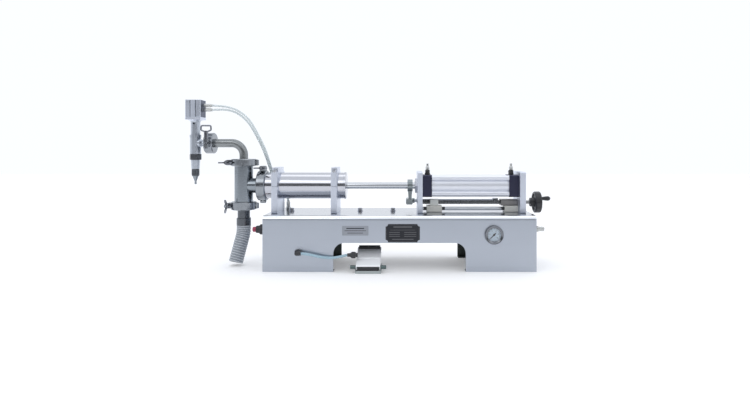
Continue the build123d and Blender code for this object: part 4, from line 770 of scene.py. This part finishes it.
for step in range(MARKS + 1):
    angle = math.radians(FIRST_MARK + SWEEP * step / MARKS)
    length, width = (0.0034, 0.0006) if step % 5 == 0 else (0.0018, 0.0003)
    mark = bmesh.new()
    made = bmesh.ops.create_cube(mark, size=1.0)["verts"]
    bmesh.ops.scale(mark, vec=(length, 0.00012, width), verts=made)
    bmesh.ops.translate(mark, vec=(MARK_RADIUS, -0.00102, 0), verts=made)
    bmesh.ops.rotate(mark, cent=(0, 0, 0), matrix=Matrix.Rotation(angle, 3, "Y"), verts=made)
    bmesh.ops.translate(mark, vec=GAUGE_FACE, verts=made)
    for face in mark.faces:
        face.material_index = 1
    join(dial, mark)
for step, word in enumerate(NUMERALS):
    angle = math.radians(FIRST_MARK + SWEEP * step / (len(NUMERALS) - 1))
    lettering = bpy.data.curves.new("numeral", "FONT")
    lettering.body = word
    lettering.size = 0.0046
    lettering.align_x = "CENTER"
    lettering.align_y = "CENTER"
    lettering.extrude = 0.00005
    writer = bpy.data.objects.new("numeral", lettering)
    bpy.context.scene.collection.objects.link(writer)
    flat = bpy.data.meshes.new_from_object(writer.evaluated_get(bpy.context.evaluated_depsgraph_get()))
    spoke = Vector((math.cos(angle), 0, -math.sin(angle)))
    spot = GAUGE_FACE + spoke * NUMERAL_RADIUS + Vector((0, -0.00106, 0))
    flat.transform(Matrix.Translation(spot) @ Matrix.Rotation(math.radians(90), 4, "X"))
    first = len(dial.faces)
    dial.from_mesh(flat)
    dial.faces.ensure_lookup_table()
    for face in dial.faces[first:]:
        face.material_index = 1
    bpy.data.objects.remove(writer)
    bpy.data.meshes.remove(flat)
    bpy.data.curves.remove(lettering)
finished(dial, "gauge_dial", [enamel, dial_ink], "machine", "gauge_case")
finished(broken_edges("gauge_needle", 0.00015, 1), "gauge_pointer", [dial_ink], "needle",
         "gauge_needle")
lens = moulded("lens", (0.95, 0.98, 1.0), 0.10, 100.0, 0.01, 0.01)
shader_of(lens).inputs["Transmission Weight"].default_value = 1.0
shader_of(lens).inputs["IOR"].default_value = 1.3
window = turned([(0, -5.5), (12, -5.4), (22.6, -5.1), (22.6, -4.0), (12, -4.2), (0, -4.2)], 64)
finished(placed(window, GAUGE_FACE, (0, 1, 0)), "gauge_lens", [lens], "machine", "gauge_glass")


# Stop button. A stepped black guard nut on the left end plate, and a red mushroom button on its
# stem, both moulded.
BUTTON = at(-384, -60, 112)
guard = turned([
    (8, -10), (8, 0), (14.4, 0), (15, 0.6), (15, 17.6), (13, 19.8), (11.3, 20), (11, 20.4), (10.5, 29.4),
    (9.9, 30), (8.3, 30), (7.8, 29.5), (7.8, 18), (3.5, 18), (3.5, -10),
], 56, True)
finished(placed(guard, BUTTON, (-1, 0, 0)), "button_guard", [valve_black], "machine", "button_housing")
button_red = moulded("button_red", (0.36, 0.028, 0.075), 0.30, 600.0, 0.06, 0.08, 0.2)
cap = turned([
    (0, 0), (3, 0), (3, 23), (7, 23), (7.5, 23.5), (7.5, 37.2), (7.1, 38.8), (6, 40.1), (4, 40.8), (0, 41),
], 48)
finished(placed(cap, BUTTON, (-1, 0, 0)), "red_button", [button_red], "button", "stop_button")


# Air inlet. A turned brass union, nickel plated and screwed into the right end plate, with a plug
# nipple for the supply hose.
finished(broken_edges("air_inlet", 0.0005), "inlet_union", [nickel], "machine", "air_inlet")


# Foot pedal. A pressed tray with ears and a pinned treadle of plated steel over a moulded valve
# box, with a ribbed rubber lip at the high end.
pedal_silver = worked_metal("pedal_silver", (0.94, 0.95, 0.97), 0.40, (20, 300, 300), 0.06, 0.05, 0.03)
shader_of(pedal_silver).inputs["Metallic"].default_value = 0.0
tray_steel = worked_metal("tray_steel", (0.42, 0.46, 0.46), 0.34, (20, 300, 300), 0.08, 0.06, 0.05)
pin_steel = worked_metal("pin_steel", (0.13, 0.17, 0.17), 0.34, (300, 30, 30), 0.08, 0.06, 0.08)
tray = broken_edges("pedal_base", 0.0005)
tray_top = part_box("pedal_base")[0].z + 0.0085
for face in tray.faces:
    if face.calc_center_median().z > tray_top:
        face.material_index = 1
finished(tray, "pedal_tray", [tray_steel, pin_steel], "machine", "pedal_base")
finished(broken_edges("pedal_box", 0.0008), "pedal_valve_box", [valve_black], "machine", "pedal_box")
rubber = moulded("rubber", (0.018, 0.018, 0.02), 0.55, 900.0, 0.15)
tread = broken_edges("treadle", 0.0006)
lip_front, lip_back = at(0, -58.3, 0).y, at(0, -43.7, 0).y
lip_left, lip_right = at(-118.1, 0, 0).x, at(-55.9, 0, 0).x
LIP_FOOT = 0.0566
for face in tread.faces:
    middle = face.calc_center_median()
    under_lip = lip_front < middle.y < lip_back and lip_left < middle.x < lip_right
    if under_lip and middle.z > LIP_FOOT:
        face.material_index = 1
finished(tread, "pedal_cover", [pedal_silver, rubber], "treadle", "treadle")


# Push-in fittings. Nickel plated bodies with a moulded release ring, on the nozzle cylinder, the
# top sheet, the front panel and the pedal.
fitting_black = moulded("fitting_black", (0.035, 0.036, 0.04), 0.34)
fittings = broken_edges("tube_fittings", 0.0004)
panel_port = at(-285, 0, 54.6)
FLANGE_RADIUS = 0.0105
FLANGE_SHRINK = 0.72
for vert in fittings.verts:
    away = vert.co - panel_port
    in_flange = -0.0065 < vert.co.y - base_low.y < -0.0002
    if in_flange and math.hypot(away.x, away.z) < FLANGE_RADIUS:
        vert.co.x = panel_port.x + away.x * FLANGE_SHRINK
        vert.co.z = panel_port.z + away.z * FLANGE_SHRINK
black_left = at(-300, 0, 0).x
for face in fittings.faces:
    if face.calc_center_median().x > black_left:
        face.material_index = 1
finished(fittings, "push_in_fittings", [nickel, fitting_black], "machine", "tube_fittings")
